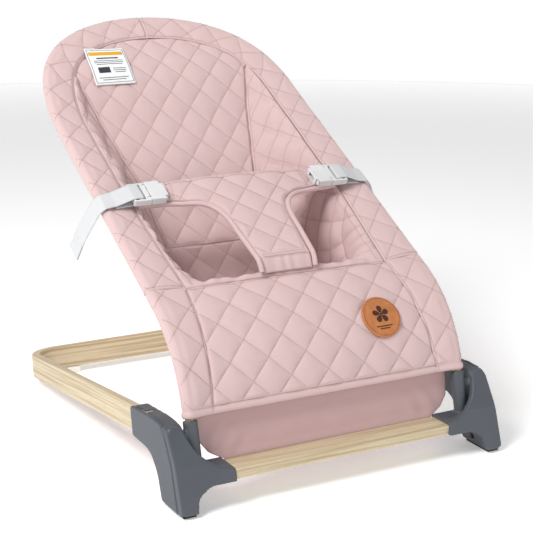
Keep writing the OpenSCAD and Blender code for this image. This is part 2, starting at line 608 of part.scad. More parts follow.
// ---- buckles: x runs outwards from the parting line, y up the sling, z out of it
half_w = buckle_w / 2;
buckle_h = bib_h(buckle_x - female_l, buckle_s) + quilt_t + gap;
module at_buckle(right) {
    p = on_sling([0, buckle_s, buckle_h]);
    side(right) translate([buckle_x, p[1], p[2]]) rotate([seat_angle, 0, 0]) children();
}
arm_root_x = 1.5;
arm_root_y = half_w - 5;
catch_x = female_l - 4;           // catch edge, inwards from the parting line
catch_w = half_w - 0.6;
arm_squeeze = (catch_x + arm_root_x) * (arm_turn * PI / 180) / buckle_travel;
mouth_w = catch_w - arm_squeeze * catch_x;
skin_t = 1.6;                     // top and bottom walls of the female
male_t = buckle_t - 1;
slot_in = [7, 15.5];              // slots of the ladder, from the outer end
slot_w = 4.4;
module buckle_female() difference() {
    translate([-female_l, -half_w, 0]) cube([female_l, buckle_w, buckle_t]);
    translate([0, 0, skin_t]) linear_extrude(buckle_t - 2 * skin_t) polygon([
        [1, -mouth_w], [1, mouth_w], [-catch_x, catch_w], [-catch_x, half_w + 1],
        [-female_l + 1.5, half_w + 1], [-female_l + 1.5, 6], [-female_l - 1, 6],
        [-female_l - 1, -6], [-female_l + 1.5, -6], [-female_l + 1.5, -half_w - 1],
        [-catch_x, -half_w - 1], [-catch_x, -catch_w]]);
    for (m = [0, 1]) mirror([0, m, 0]) translate([-female_l - 1, half_w - 5, -1])
        cube([female_l - catch_x + 1, 6, buckle_t + 2]);
}
module buckle_male() difference() {
    union() {
        translate([gap, -half_w, 0]) cube([male_l - gap, buckle_w, male_t]);
        translate([-12, -4, skin_t + gap]) cube([13, 8, buckle_t - 2 * skin_t - 2 * gap]);
    }
    for (x = slot_in) translate([male_l - x, -web_strap_w / 2 - 0.8, -1])
        cube([slot_w, web_strap_w + 1.6, buckle_t + 2]);
    for (m = [0, 1]) mirror([0, m, 0]) translate([arm_root_x, arm_root_y, skin_t]) {
        cylinder(h = buckle_t, r = 2 + gap);
        translate([-4, -2 - gap, 0]) cube([4, 4.6, buckle_t]);
    }
}
// The rear arm lies towards +y; the front arm is its mirror image
module release_arm() translate([0, 0, skin_t + gap]) linear_extrude(buckle_t - 2 * skin_t - 2 * gap) {
    translate([arm_root_x, arm_root_y]) circle(2);
    polygon([[arm_root_x, arm_root_y - 1.8], [arm_root_x, arm_root_y + 1.2],
        [-catch_x - gap, arm_root_y + 1.8], [-catch_x - gap, catch_w - 0.2],
        [-female_l + 2.2, catch_w - 1.6], [-female_l + 2.2, arm_root_y - 1],
        [-catch_x, arm_root_y - 2.2]]);
}
module left_buckle_female() color(white) placed() at_buckle(false) buckle_female();
module right_buckle_female() color(white) placed() at_buckle(true) buckle_female();
module left_buckle_male() color(white) placed() at_buckle(false) buckle_male();
module right_buckle_male() color(white) placed() at_buckle(true) buckle_male();
module left_arm_rear() color(white) placed() at_buckle(false) release_arm();
module right_arm_rear() color(white) placed() at_buckle(true) release_arm();
module left_arm_front() color(white) placed() at_buckle(false) mirror([0, 1, 0]) release_arm();
module right_arm_front() color(white) placed() at_buckle(true) mirror([0, 1, 0]) release_arm();

// Strap: up through the ladder of the buckle, back over the sleeve and down outside it.
// Points are [x from the middle, height above the rods] of its outer face; the tail
// then hangs down.
strap_low = sleeve_r + gap;
strap_off = web_strap_t + gap;    // outer face of the webbing off the ladder's bar
bar_edge = buckle_x + male_l - slot_in[1] + slot_w;
ladder_top = buckle_h + male_t;
turn = strap_off * (1 - tan(22.5));
strap_route = [[rod_x - 8, strap_low], [buckle_x + male_l, buckle_h - strap_off - 0.6],
    [bar_edge - strap_off + turn, buckle_h - strap_off], [bar_edge - strap_off, buckle_h - strap_off + turn],
    [bar_edge - strap_off, ladder_top + strap_off - turn], [bar_edge - strap_off + turn, ladder_top + strap_off],
    [buckle_x + male_l, ladder_top + strap_off], [rod_x - 8, strap_low + 5],
    [rod_x + 5, strap_low + 3], [rod_x + 12, strap_low - 4]];
tail_drop = [[rod_x + 20, -12, 2], [rod_x + 30, -30, 4], [rod_x + 38, -50, 6]];
function strap_point(p, y) = let (q = on_sling([p[0], buckle_s + y * web_strap_w / 2, p[1]])) q;
function strap_edge(y) = let (c = on_sling([rod_x, buckle_s + y * web_strap_w / 2, 0])) concat(
    [for (p = strap_route) strap_point(p, y)],
    [for (p = tail_drop) [p[0], c[1] + p[2], c[2] + p[1]]]);
module strap(right) side(right) sheet([for (y = [-1, 1]) strap_edge(y)], web_strap_t);
module left_strap() color(white) placed() strap(false);
module right_strap() color(white) placed() strap(true);

base_rail();
front_bar();
left_bracket();
right_bracket();
left_side_cover();
right_side_cover();
left_foot_pad();
right_foot_pad();
rear_pads();
rail_screws();
bar_screws();
cover_screws();
panel_studs();
lower_panel();
left_lower_rod();
right_lower_rod();
seat_hoop();
left_snap_button();
right_snap_button();
left_button_spring();
right_button_spring();
left_front_sleeve();
right_front_sleeve();
left_side_sleeve();
right_side_sleeve();
front_panel();
seat_well();
back_panel();
left_gusset();
right_gusset();
bib();
left_piping();
right_piping();
badge();
care_label();
left_buckle_female();
right_buckle_female();
left_buckle_male();
right_buckle_male();
left_arm_front();
left_arm_rear();
right_arm_front();
right_arm_rear();
left_strap();
right_strap();
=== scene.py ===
import math

import bmesh
import bpy
import numpy as np
from bpy.props import FloatProperty, FloatVectorProperty, PointerProperty
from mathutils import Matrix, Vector


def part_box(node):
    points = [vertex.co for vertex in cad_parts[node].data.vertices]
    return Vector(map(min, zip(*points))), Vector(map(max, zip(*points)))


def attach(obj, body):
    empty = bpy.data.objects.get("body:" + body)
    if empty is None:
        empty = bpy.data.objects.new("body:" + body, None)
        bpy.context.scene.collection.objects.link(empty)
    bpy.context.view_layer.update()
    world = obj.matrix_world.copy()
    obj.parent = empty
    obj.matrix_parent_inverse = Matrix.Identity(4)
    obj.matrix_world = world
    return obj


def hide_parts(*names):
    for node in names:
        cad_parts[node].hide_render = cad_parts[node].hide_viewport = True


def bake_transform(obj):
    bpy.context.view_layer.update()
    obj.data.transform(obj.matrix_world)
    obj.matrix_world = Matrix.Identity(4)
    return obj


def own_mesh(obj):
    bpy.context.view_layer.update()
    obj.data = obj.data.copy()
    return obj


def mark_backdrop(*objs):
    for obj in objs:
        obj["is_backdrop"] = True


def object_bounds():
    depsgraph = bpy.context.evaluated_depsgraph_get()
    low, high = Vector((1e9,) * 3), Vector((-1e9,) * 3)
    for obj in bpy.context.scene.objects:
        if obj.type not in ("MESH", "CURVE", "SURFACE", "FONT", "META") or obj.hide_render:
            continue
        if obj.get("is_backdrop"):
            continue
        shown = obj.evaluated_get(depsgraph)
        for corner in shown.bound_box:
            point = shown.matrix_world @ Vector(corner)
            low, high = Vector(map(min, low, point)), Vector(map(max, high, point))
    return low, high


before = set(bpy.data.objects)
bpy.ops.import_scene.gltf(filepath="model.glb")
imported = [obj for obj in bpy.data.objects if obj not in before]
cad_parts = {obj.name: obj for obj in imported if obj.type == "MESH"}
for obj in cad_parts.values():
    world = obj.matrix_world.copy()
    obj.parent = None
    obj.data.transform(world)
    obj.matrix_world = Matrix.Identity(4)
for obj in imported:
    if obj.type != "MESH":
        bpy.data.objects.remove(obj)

bl_info = {
    "name": "Baby bouncer seat",
    "version": (1, 0, 0),
    "blender": (4, 5, 0),
    "location": "View3D > Sidebar > Bouncer",
    "description": "Builds the cloth, wood, mouldings and harness of a baby bouncer round its frame",
    "category": "Add Mesh",
}

CAD_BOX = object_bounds()
MM = 0.001
SIDES = (("left", True), ("right", False))

# ---------------------------------------------------------------- the sling's own coordinates
# Lengths here are millimetres. A place on the sling is x across, s along it from the hem, and
# h out of it. The rods bend up from their sockets, run straight, and lean more at the head.
BAR_LOW, BAR_HIGH = (np.array(corner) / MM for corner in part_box("front_bar"))
BAR_FRONT = BAR_LOW[1]
ROD_LOW, ROD_HIGH = (np.array(corner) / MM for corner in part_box("right_lower_rod"))
ROD_X = (ROD_LOW[0] + ROD_HIGH[0]) / 2
ROD_START = (40.0, 96.0)
SOCKET_LEAN, SEAT_LEAN, HEAD_LEAN = (math.radians(a) for a in (76.0, 28.7, 36.5))
ROD_BEND, HEAD_BEND = 152.0, 300.0
STRAIGHT_L, ARCH_L = 326.0, 249.0
S_STRAIGHT = ROD_BEND * (SOCKET_LEAN - SEAT_LEAN)
S_HEAD = S_STRAIGHT + STRAIGHT_L
S_HEAD_END = S_HEAD + HEAD_BEND * (HEAD_LEAN - SEAT_LEAN)
S_ARCH = S_STRAIGHT + 264.0
HEM_S, CROTCH_S, WELL_S = -6.0, 146.0, 300.0
SEAM_GAP = 0.05
BAND_W = 32.0
QUILT_T, CLOTH_T = 3.2, 0.9
SLEEVE_R = 7.15
BIB_TOP_S = 316.0
BUCKLE_S = 294.0


def ease(t):
    """A smooth step from 0 to 1."""
    t = np.clip(t, 0, 1)
    return t * t * (3 - 2 * t)


def arc_end(y, z, radius, a0, a1):
    """Where an arc from (y, z) ends as its lean goes from a0 to a1."""
    return (y + radius * (np.sin(a0) - np.sin(a1)), z + radius * (np.cos(a1) - np.cos(a0)))


def run_on(y, z, far, a):
    """The point that far on at lean a."""
    return y + far * np.cos(a), z + far * np.sin(a)


STRAIGHT_START = arc_end(*ROD_START, ROD_BEND, SOCKET_LEAN, SEAT_LEAN)
STRAIGHT_END = run_on(*STRAIGHT_START, STRAIGHT_L, SEAT_LEAN)
HEAD_START = arc_end(*STRAIGHT_END, -HEAD_BEND, SEAT_LEAN, HEAD_LEAN)


def lean(s):
    """How far the sling leans from the floor at s, in radians."""
    s = np.asarray(s, float)
    return np.select(
        [s < 0, s < S_STRAIGHT, s < S_HEAD, s < S_HEAD_END],
        [SOCKET_LEAN + 0 * s, SOCKET_LEAN - s / ROD_BEND, SEAT_LEAN + 0 * s,
         SEAT_LEAN + (s - S_HEAD) / HEAD_BEND],
        HEAD_LEAN)


def spine(s):
    """The rods' line at s: y from the bar's front face and z above the floor."""
    s = np.asarray(s, float)
    a = lean(s)
    parts = [
        run_on(*ROD_START, s, SOCKET_LEAN), arc_end(*ROD_START, ROD_BEND, SOCKET_LEAN, a),
        run_on(*STRAIGHT_START, s - S_STRAIGHT, SEAT_LEAN),
        arc_end(*STRAIGHT_END, -HEAD_BEND, SEAT_LEAN, a)]
    last = run_on(*HEAD_START, s - S_HEAD_END, HEAD_LEAN)
    tests = [s < 0, s < S_STRAIGHT, s < S_HEAD, s < S_HEAD_END]
    return tuple(np.select(tests, [p[k] for p in parts], last[k]) for k in (0, 1))


def on_sling(x, s, h):
    """Frame coordinates in millimetres of a place on the sling."""
    y, z = spine(s)
    a = lean(s)
    x, y, z = np.broadcast_arrays(x, y - h * np.sin(a) + BAR_FRONT, z + h * np.cos(a))
    return np.stack([x, y, z], -1)


def unit(v):
    """The vectors at length 1."""
    return v / np.maximum(np.linalg.norm(v, axis=-1, keepdims=True), 1e-9)


def run_lengths(line):
    """The length run so far at each point of a line."""
    return np.concatenate([[0], np.cumsum(np.linalg.norm(np.diff(line, axis=0), axis=1))])


def sling_up(s):
    """The direction out of the sling at s."""
    a = lean(s)
    return np.stack([0 * a, -np.sin(a), np.cos(a)], -1)


def seat_seam(s):
    """Half width between the side seams, from the hem up to the arch."""
    low = 143 - 13 * np.maximum(s, 0) / CROTCH_S
    return np.where(s < CROTCH_S, low, 130 + 9 * np.minimum(1, (s - CROTCH_S) / 145)) * (
        ROD_X - BAND_W) / 139.5


# The hoop's centreline on the right-hand side, from below the hem to the top of the arch
BELOW_HEM = 20.0
_turn = np.linspace(0, 1, 900)[1:] ** 2 * math.pi / 2
PATH_X = np.concatenate([np.full(600, ROD_X), ROD_X * np.cos(_turn)])
PATH_S = np.concatenate([np.linspace(HEM_S - BELOW_HEM, S_ARCH, 600),
                         S_ARCH + ARCH_L * np.sqrt(np.sin(_turn))])
PATH = on_sling(PATH_X, PATH_S, 0)
PATH_L = run_lengths(PATH) + HEM_S - BELOW_HEM
PATH_UP = sling_up(PATH_S)
PATH_T = unit(np.gradient(PATH, axis=0))
PATH_T[-1] = (-1, 0, 0)
PATH_OUT = unit(np.cross(PATH_T, PATH_UP))
PATH_END = PATH_L[-1]


def along_path(values, run):
    """The values at that run along the hoop."""
    return np.stack([np.interp(run, PATH_L, values[:, k]) for k in range(values.shape[1])], -1)


def band_width(run):
    """How far the sleeve's flat part reaches in from the rod."""
    s = np.interp(run, PATH_L, PATH_S)
    return np.where(s < S_ARCH, ROD_X - seat_seam(s), BAND_W)


_width = band_width(PATH_L)
_tangent = np.stack([0 * PATH_S, np.cos(lean(PATH_S)), np.sin(lean(PATH_S))], -1)
INNER_X = PATH_X - _width * PATH_OUT[:, 0]
INNER_S = PATH_S - _width * np.sum(PATH_OUT * _tangent, -1)
INNER_TOP = INNER_S.max()


def inner_x(s):
    """Half width inside the band, up to the top of the arch."""
    return np.interp(s, INNER_S, INNER_X)


# ---------------------------------------------------------------- settings a user may change
def colour(name, words, value):
    """A colour that the sidebar shows."""
    return FloatVectorProperty(name=name, description=words, subtype="COLOR", size=3, min=0, max=1,
                               default=value)


def measure(name, words, value, low=0.0, high=0.1):
    """A length that the sidebar shows."""
    return FloatProperty(name=name, description=words, unit="LENGTH", precision=5, min=low, max=high,
                         default=value)


class BouncerClothSettings(bpy.types.PropertyGroup):
    """Sizes and colours of the cloth."""

    quilted: colour("Quilted cloth", "Colour of the quilted sling", (0.66, 0.49, 0.482))
    plain: colour("Plain cloth", "Colour of the plain lower panel", (0.61, 0.415, 0.41))
    thread: colour("Thread", "Colour of the stitches", (0.40, 0.24, 0.235))
    front_pitch: measure("Front pitch", "Quilting of the front panel, from crossing to crossing", 0.0467)
    back_pitch: measure("Back pitch across", "Quilting of the backrest, from crossing to crossing", 0.0425)
    back_rise: measure("Back pitch along", "Quilting of the backrest along the sling", 0.046)
    puff: measure("Puff", "How far the filling stands up between the stitched lines", 0.0031)
    stitch_pitch: measure("Stitch pitch", "From the start of one stitch to the next", 0.0028, 0.001)
    stitch_length: measure("Stitch length", "Length of the thread that shows", 0.0019)
    stitch_width: measure("Stitch width", "Thickness of the thread", 0.0007)
    grid: measure("Mesh step", "Distance between points of the cloth's mesh", 0.0016, 0.001)


class BouncerHardSettings(bpy.types.PropertyGroup):
    """Sizes and colours of the wood, the mouldings, the metal and the harness."""

    wood: colour("Wood", "Colour of the pale growth in the wood", (0.64, 0.545, 0.37))
    wood_line: colour("Grain", "Colour of the grain lines", (0.37, 0.245, 0.12))
    moulding: colour("Moulding", "Colour of the corner brackets", (0.078, 0.087, 0.102))
    rubber: colour("Rubber", "Colour of the feet", (0.016, 0.016, 0.017))
    clear_rubber: colour("Clear rubber", "Colour of the pads under the rear of the rail", (0.78, 0.75, 0.68))
    steel: colour("Steel", "Colour of screws and studs", (0.52, 0.51, 0.49))
    rod_coat: colour("Rod coat", "Colour of the coated rods", (0.42, 0.33, 0.17))
    plastic: colour("Buckle plastic", "Colour of the buckles", (0.66, 0.66, 0.665))
    webbing: colour("Webbing", "Colour of the straps", (0.60, 0.605, 0.615))
    leather: colour("Leather", "Colour of the badge", (0.50, 0.185, 0.06))
    mark: colour("Mark", "Colour of the stamped mark on the badge", (0.065, 0.018, 0.012))
    label: colour("Label", "Colour of the care label", (0.86, 0.865, 0.87))
    label_band: colour("Label band", "Colour of the label's heading band", (0.83, 0.42, 0.02))
    wood_edge: measure("Wood edge", "Rounding of the edges of rail and bar", 0.0024)
    bracket_step: measure("Moulding step", "Voxel size of the moulded brackets", 0.0012, 0.0005)


# ---------------------------------------------------------------- materials
class Finish:
    """A material and its node tree, with the shader ready to be set."""

    def __init__(self, name, **constants):
        self.material = bpy.data.materials.new(name)
        self.material.use_nodes = True
        self.tree = self.material.node_tree
        self.shader = self.tree.nodes["Principled BSDF"]
        for socket, value in constants.items():
            self.shader.inputs[socket.replace("_", " ")].default_value = value

    def add(self, kind, inputs=(), **settings):
        node = self.tree.nodes.new(kind)
        for key, value in settings.items():
            setattr(node, key, value)
        for key, value in dict(inputs).items():
            if isinstance(value, bpy.types.NodeSocket):
                self.tree.links.new(value, node.inputs[key])
            else:
                node.inputs[key].default_value = value
        return node

    def flat(self, scale):
        """The piece's own flat coordinates, stretched."""
        source = self.add("ShaderNodeAttribute", attribute_name="flat")
        return self.scaled(source.outputs["Vector"], scale)

    def space(self, scale):
        return self.scaled(self.add("ShaderNodeTexCoord").outputs["Object"], scale)

    def scaled(self, socket, scale):
        return self.add("ShaderNodeMapping", {"Vector": socket, "Scale": scale}).outputs["Vector"]

    def noise(self, vector, size=1.0, detail=3.0, distortion=0.0):
        return self.add("ShaderNodeTexNoise", {"Vector": vector, "Scale": size, "Detail": detail,
                                               "Distortion": distortion}).outputs["Fac"]

    def wave(self, vector, size, axis, twist=0.0):
        return self.add("ShaderNodeTexWave", {"Vector": vector, "Scale": size, "Distortion": twist,
                                              "Detail": 1.0}, bands_direction=axis).outputs["Fac"]

    def math(self, work, a, b):
        return self.add("ShaderNodeMath", {0: a, 1: b}, operation=work).outputs[0]

    def ramp(self, factor, low, high, dark, light):
        node = self.add("ShaderNodeValToRGB", {"Fac": factor})
        for stop, place, tone in zip(node.color_ramp.elements, (low, high), (dark, light)):
            stop.position, stop.color = place, (*tone, 1)
        return node.outputs["Color"]

    def mix(self, factor, a, b, blend="MIX"):
        node = self.add("ShaderNodeMix", data_type="RGBA", blend_type=blend)
        for socket, value in zip((node.inputs[0], node.inputs[6], node.inputs[7]), (factor, a, b)):
            if isinstance(value, bpy.types.NodeSocket):
                self.tree.links.new(value, socket)
            else:
                socket.default_value = value
        return node.outputs[2]

    def paint(self, socket):
        self.tree.links.new(socket, self.shader.inputs["Base Color"])

    def roughen(self, factor, low, high):
        node = self.add("ShaderNodeMapRange", {"Value": factor, "To Min": low, "To Max": high})
        self.tree.links.new(node.outputs[0], self.shader.inputs["Roughness"])

    def bump(self, height, strength, distance):
        node = self.add("ShaderNodeBump", {"Height": height, "Strength": strength, "Distance": distance})
        self.tree.links.new(node.outputs["Normal"], self.shader.inputs["Normal"])


def shade(tone, factor):
    """The tone, lighter or darker."""
    return tuple(min(1.0, c * factor) for c in tone)


def cloth_finish(name, tone, thread_mm=0.62, sheen=0.22):
    """Plain-woven cotton: crossed threads, slubs along them and a faint unevenness of the dye."""
    f = Finish(name, Roughness=0.86, Sheen_Weight=sheen, Sheen_Roughness=0.45,
               Sheen_Tint=(*shade(tone, 1.25), 1), Specular_IOR_Level=0.18)
    waves_per_m = math.pi / 10 / (thread_mm * MM)
    across = f.wave(f.flat((1, 1, 1)), waves_per_m, "X", 1.2)
    up = f.wave(f.flat((1, 1, 1)), waves_per_m, "Y", 1.2)
    weave = f.math("MULTIPLY", across, up)
    slub = f.noise(f.flat((90, 900, 1)), 1.0, 2.0)
    dye = f.noise(f.flat((14, 14, 14)), 1.0, 4.0)
    tones = f.ramp(dye, 0.3, 0.7, shade(tone, 0.955), shade(tone, 1.03))
    tones = f.mix(0.5, tones, f.ramp(slub, 0.35, 0.65, shade(tone, 0.93), shade(tone, 1.05)))
    f.paint(f.mix(0.5, tones, f.ramp(weave, 0.0, 0.7, shade(tone, 0.9), shade(tone, 1.07))))
    f.roughen(weave, 0.93, 0.8)
    f.bump(f.math("ADD", weave, slub), 0.35, 0.00025)
    return f.material


def thread_finish(name, tone):
    """Twisted sewing thread."""
    f = Finish(name, Roughness=0.75, Specular_IOR_Level=0.25)
    twist = f.wave(f.space((1, 1, 1)), 900, "DIAGONAL")
    f.paint(f.ramp(twist, 0.0, 1.0, shade(tone, 0.8), shade(tone, 1.2)))
    return f.material


def webbing_finish(name, tone):
    """Flat woven webbing: ribs along the strap and a fine twill across it."""
    f = Finish(name, Roughness=0.62, Sheen_Weight=0.15, Specular_IOR_Level=0.35)
    ribs = f.wave(f.flat((1, 1, 1)), 190, "X")
    twill = f.wave(f.flat((1, 1, 1)), 330, "DIAGONAL")
    height = f.math("ADD", ribs, twill)
    f.paint(f.ramp(height, 0.0, 1.6, shade(tone, 0.9), shade(tone, 1.03)))
    f.bump(height, 0.3, 0.0003)
    return f.material


def wood_finish(name, pale, line):
    """Pale lacquered ash: growth lines that run with the piece, short pores and a slow change of tone."""
    f = Finish(name, Specular_IOR_Level=0.4, Coat_Weight=0.12, Coat_Roughness=0.35)
    growth = f.noise(f.flat((4.5, 520, 330)), 1.0, 5.0, 0.35)
    pores = f.noise(f.flat((60, 2600, 2600)), 1.0, 2.0)
    slow = f.noise(f.flat((5, 30, 30)), 1.0, 2.0)
    tones = f.ramp(growth, 0.40, 0.56, line, pale)
    tones = f.mix(0.35, tones, f.ramp(slow, 0.3, 0.7, shade(pale, 0.86), shade(pale, 1.08)))
    f.paint(f.mix(f.ramp(pores, 0.30, 0.42, (0.35,) * 3, (0.0,) * 3), tones, (*shade(line, 0.75), 1)))
    f.roughen(growth, 0.52, 0.4)
    f.bump(f.math("ADD", growth, pores), 0.12, 0.0003)
    return f.material


def moulded_finish(name, tone, rough, grain_mm=0.8, depth=0.00008):
    """Moulded plastic or rubber: a fine spark-eroded texture, and edges rubbed a little brighter."""
    f = Finish(name, Specular_IOR_Level=0.42)
    grain = f.noise(f.space((1 / (grain_mm * MM),) * 3), 1.0, 3.0)
    cloud = f.noise(f.space((22, 22, 22)), 1.0, 3.0)
    edges = f.add("ShaderNodeNewGeometry").outputs["Pointiness"]
    # painted highlight: sharp convex edges are coloured a little brighter, where they would catch the light
    edge_highlight = f.ramp(edges, 0.50, 0.62, (0.0,) * 3, (0.35,) * 3)
    tones = f.ramp(cloud, 0.3, 0.7, shade(tone, 0.94), shade(tone, 1.06))
    f.paint(f.mix(edge_highlight, tones, (*shade(tone, 1.35), 1)))
    f.roughen(f.math("ADD", grain, cloud), rough - 0.05, rough + 0.08)
    f.bump(grain, 0.25, depth)
    return f.material


def metal_finish(name, tone, rough):
    """Plated or bare steel, faintly brushed."""
    f = Finish(name, Metallic=1.0)
    brushed = f.noise(f.space((300, 300, 4000)), 1.0, 2.0)
    cloud = f.noise(f.space((60, 60, 60)), 1.0, 2.0)
    f.paint(f.ramp(cloud, 0.3, 0.7, shade(tone, 0.85), shade(tone, 1.1)))
    f.roughen(brushed, rough - 0.08, rough + 0.1)
    f.bump(brushed, 0.08, 0.00005)
    return f.material


def leather_finish(name, tone):
    """Tanned hide: small cells and a clouded dye."""
    f = Finish(name, Specular_IOR_Level=0.35, Sheen_Weight=0.08)
    cells = f.add("ShaderNodeTexVoronoi", {"Vector": f.space((1100, 1100, 1100))}).outputs["Distance"]
    cloud = f.noise(f.space((90, 90, 90)), 1.0, 5.0)
    f.paint(f.ramp(cloud, 0.28, 0.72, shade(tone, 0.8), shade(tone, 1.15)))
    f.roughen(cloud, 0.48, 0.62)
    f.bump(cells, 0.25, 0.0002)
    return f.material


MATERIALS = {}


def finish_of(name):
    """The finish of that name, made at its first use."""
    if name not in MATERIALS:
        cloth, hard = bpy.context.scene.bouncer_cloth, bpy.context.scene.bouncer_hard
        makers = {
            "quilted_cloth": lambda: cloth_finish(name, tuple(cloth.quilted)),
            "plain_cloth": lambda: cloth_finish(name, tuple(cloth.plain), 0.55),
            "piping_cloth": lambda: cloth_finish(name, shade(cloth.quilted, 0.97), 0.5, 0.3),
            "thread": lambda: thread_finish(name, tuple(cloth.thread)),
            "webbing": lambda: webbing_finish(name, tuple(hard.webbing)),
            "ash_wood": lambda: wood_finish(name, tuple(hard.wood), tuple(hard.wood_line)),
            "grey_moulding": lambda: moulded_finish(name, tuple(hard.moulding), 0.42),
            "rubber": lambda: moulded_finish(name, tuple(hard.rubber), 0.75, 1.2),
            "clear_rubber": lambda: moulded_finish(name, tuple(hard.clear_rubber), 0.5, 1.2),
            "zinc_steel": lambda: metal_finish(name, tuple(hard.steel), 0.3),
            "spring_steel": lambda: metal_finish(name, shade(hard.steel, 0.7), 0.25),
            "coated_tube": lambda: moulded_finish(name, tuple(hard.rod_coat), 0.34),
            "buckle_plastic": lambda: moulded_finish(name, tuple(hard.plastic), 0.3, 1.5, 0.00003),
            "tan_leather": lambda: leather_finish(name, tuple(hard.leather)),
            "badge_mark": lambda: leather_finish(name, tuple(hard.mark)),
            "label_cloth": lambda: cloth_finish(name, tuple(hard.label), 0.35, 0.0),
            "label_band": lambda: cloth_finish(name, tuple(hard.label_band), 0.35, 0.0),
            "label_ink": lambda: cloth_finish(name, (0.05, 0.055, 0.07), 0.35, 0.0),
        }
        MATERIALS[name] = makers[name]()
    return MATERIALS[name]


# ---------------------------------------------------------------- mesh kit
def piece(name, points_mm, faces, finish, flat_mm=None, smooth=True):
    """A mesh object at the origin. flat_mm gives each point its flat coordinates."""
    mesh = bpy.data.meshes.new(name)
    mesh.from_pydata((np.asarray(points_mm) * MM).tolist(), [], faces)
    if flat_mm is not None:
        flat = np.zeros((len(mesh.vertices), 3), np.float32)
        flat[:, : np.shape(flat_mm)[1]] = np.asarray(flat_mm) * MM
        mesh.attributes.new("flat", "FLOAT_VECTOR", "POINT").data.foreach_set("vector", flat.ravel())
    obj = bpy.data.objects.new(name, mesh)
    bpy.context.scene.collection.objects.link(obj)
    outward(mesh)
    mesh.polygons.foreach_set("use_smooth", [smooth] * len(mesh.polygons))
    mesh.materials.append(finish_of(finish))
    return obj


def outward(mesh):
    """Turns the faces of a closed mesh outwards."""
    work = bmesh.new()
    work.from_mesh(mesh)
    bmesh.ops.recalc_face_normals(work, faces=work.faces)
    work.to_mesh(mesh)
    work.free()
    mesh.update()


def grid_quads(m, n, start=0, wrap=False):
    """Quads over m rows of n points each."""
    rows = np.arange(m - 1)[:, None] * n
    cols = np.arange(n if wrap else n - 1)[None, :]
    after = (cols + 1) % n
    quads = np.stack([rows + cols, rows + after, rows + n + after, rows + n + cols], -1)
    return (quads.reshape(-1, 4) + start).tolist()


def edge_loop(m, n):
    """The points round the edge of m rows of n points."""
    return np.concatenate([np.arange(n), np.arange(1, m) * n + n - 1,
                           (m - 1) * n + np.arange(n - 2, -1, -1), np.arange(m - 2, 0, -1) * n])


def shell(name, top, under, finish, flat):
    """A closed sheet between two grids of points."""
    m, n = top.shape[:2]
    loop = edge_loop(m, n)
    k = m * n
    after = np.roll(loop, -1)
    rim = np.stack([loop, after, after + k, loop + k], -1).tolist()
    under_quads = [q[::-1] for q in grid_quads(m, n, k)]
    points = np.concatenate([top.reshape(-1, 3), under.reshape(-1, 3)])
    flats = np.concatenate([flat.reshape(-1, 2)] * 2)
    return piece(name, points, grid_quads(m, n) + under_quads + rim, finish, flats)


def tube(name, rings, finish, flat=None):
    """A closed skin over rings of points, with flat ends."""
    m, n = rings.shape[:2]
    ends = [list(range(n))[::-1], list(range((m - 1) * n, m * n))]
    flats = None if flat is None else flat.reshape(-1, flat.shape[-1])
    return piece(name, rings.reshape(-1, 3), grid_quads(m, n, wrap=True) + ends, finish, flats)


def mirrored(points):
    """The points on the other side of the middle."""
    return points * np.array([-1, 1, 1])


def settle(obj, body, slot, *nodes):
    """Rides obj on its body, gives it its slot and lets it stand for the nodes."""
    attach(obj, body)
    if nodes:
        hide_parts(*nodes)
    return obj


def baked(obj, name):
    """A plain mesh of obj with its modifiers, which takes obj's place."""
    graph = bpy.context.evaluated_depsgraph_get()
    mesh = bpy.data.meshes.new_from_object(obj.evaluated_get(graph), preserve_all_data_layers=True,
                                           depsgraph=graph)
    finishes = [s.material for s in obj.material_slots]
    bpy.data.objects.remove(obj)
    done = bpy.data.objects.new(name, mesh)
    mesh.name = name
    bpy.context.scene.collection.objects.link(done)
    if not mesh.materials:
        for finish in finishes:
            mesh.materials.append(finish)
    return done


# ---------------------------------------------------------------- stitches by Geometry Nodes
def node_group(name, sockets):
    """A geometry tree with these inputs besides its geometry."""
    group = bpy.data.node_groups.new(name, "GeometryNodeTree")
    group.interface.new_socket("Geometry", in_out="OUTPUT", socket_type="NodeSocketGeometry")
    group.interface.new_socket("Geometry", in_out="INPUT", socket_type="NodeSocketGeometry")
    for label, kind, value in sockets:
        socket = group.interface.new_socket(label, in_out="INPUT", socket_type=kind)
        if value is not None:
            socket.default_value = value
    return group


def build_nodes(group, plan, links):
    """Adds the nodes of plan, as name: (type, settings), and joins them by socket name."""
    made = {"in": group.nodes.new("NodeGroupInput"), "out": group.nodes.new("NodeGroupOutput")}
    for label, (kind, settings, values) in plan.items():
        node = group.nodes.new(kind)
        for key, value in settings.items():
            setattr(node, key, value)
        for key, value in values.items():
            node.inputs[key].default_value = value
        made[label] = node
    for source, out, target, into in links:
        group.links.new(made[source].outputs[out], made[target].inputs[into])
    return made


def spread(name, group, points_mm, along, up, values, finish):
    """Puts the group's shape at each point, with X along and Z up, and returns a plain mesh."""
    mesh = bpy.data.meshes.new(name + "_points")
    mesh.from_pydata((np.asarray(points_mm) * MM).tolist(), [], [])
    for label, vectors in (("along", along), ("up", up)):
        data = mesh.attributes.new(label, "FLOAT_VECTOR", "POINT").data
        data.foreach_set("vector", np.asarray(vectors, np.float32).ravel())
    obj = bpy.data.objects.new(name + "_points", mesh)
    bpy.context.scene.collection.objects.link(obj)
    modifier = obj.modifiers.new("spread", "NODES")
    modifier.node_group = group
    sockets = {i.name: i.identifier for i in group.interface.items_tree if i.in_out == "INPUT"}
    for label, value in {**values, "Material": finish_of(finish)}.items():
        modifier[sockets[label]] = value
    done = baked(obj, name)
    done.data.polygons.foreach_set("use_smooth", [True] * len(done.data.polygons))
    return done


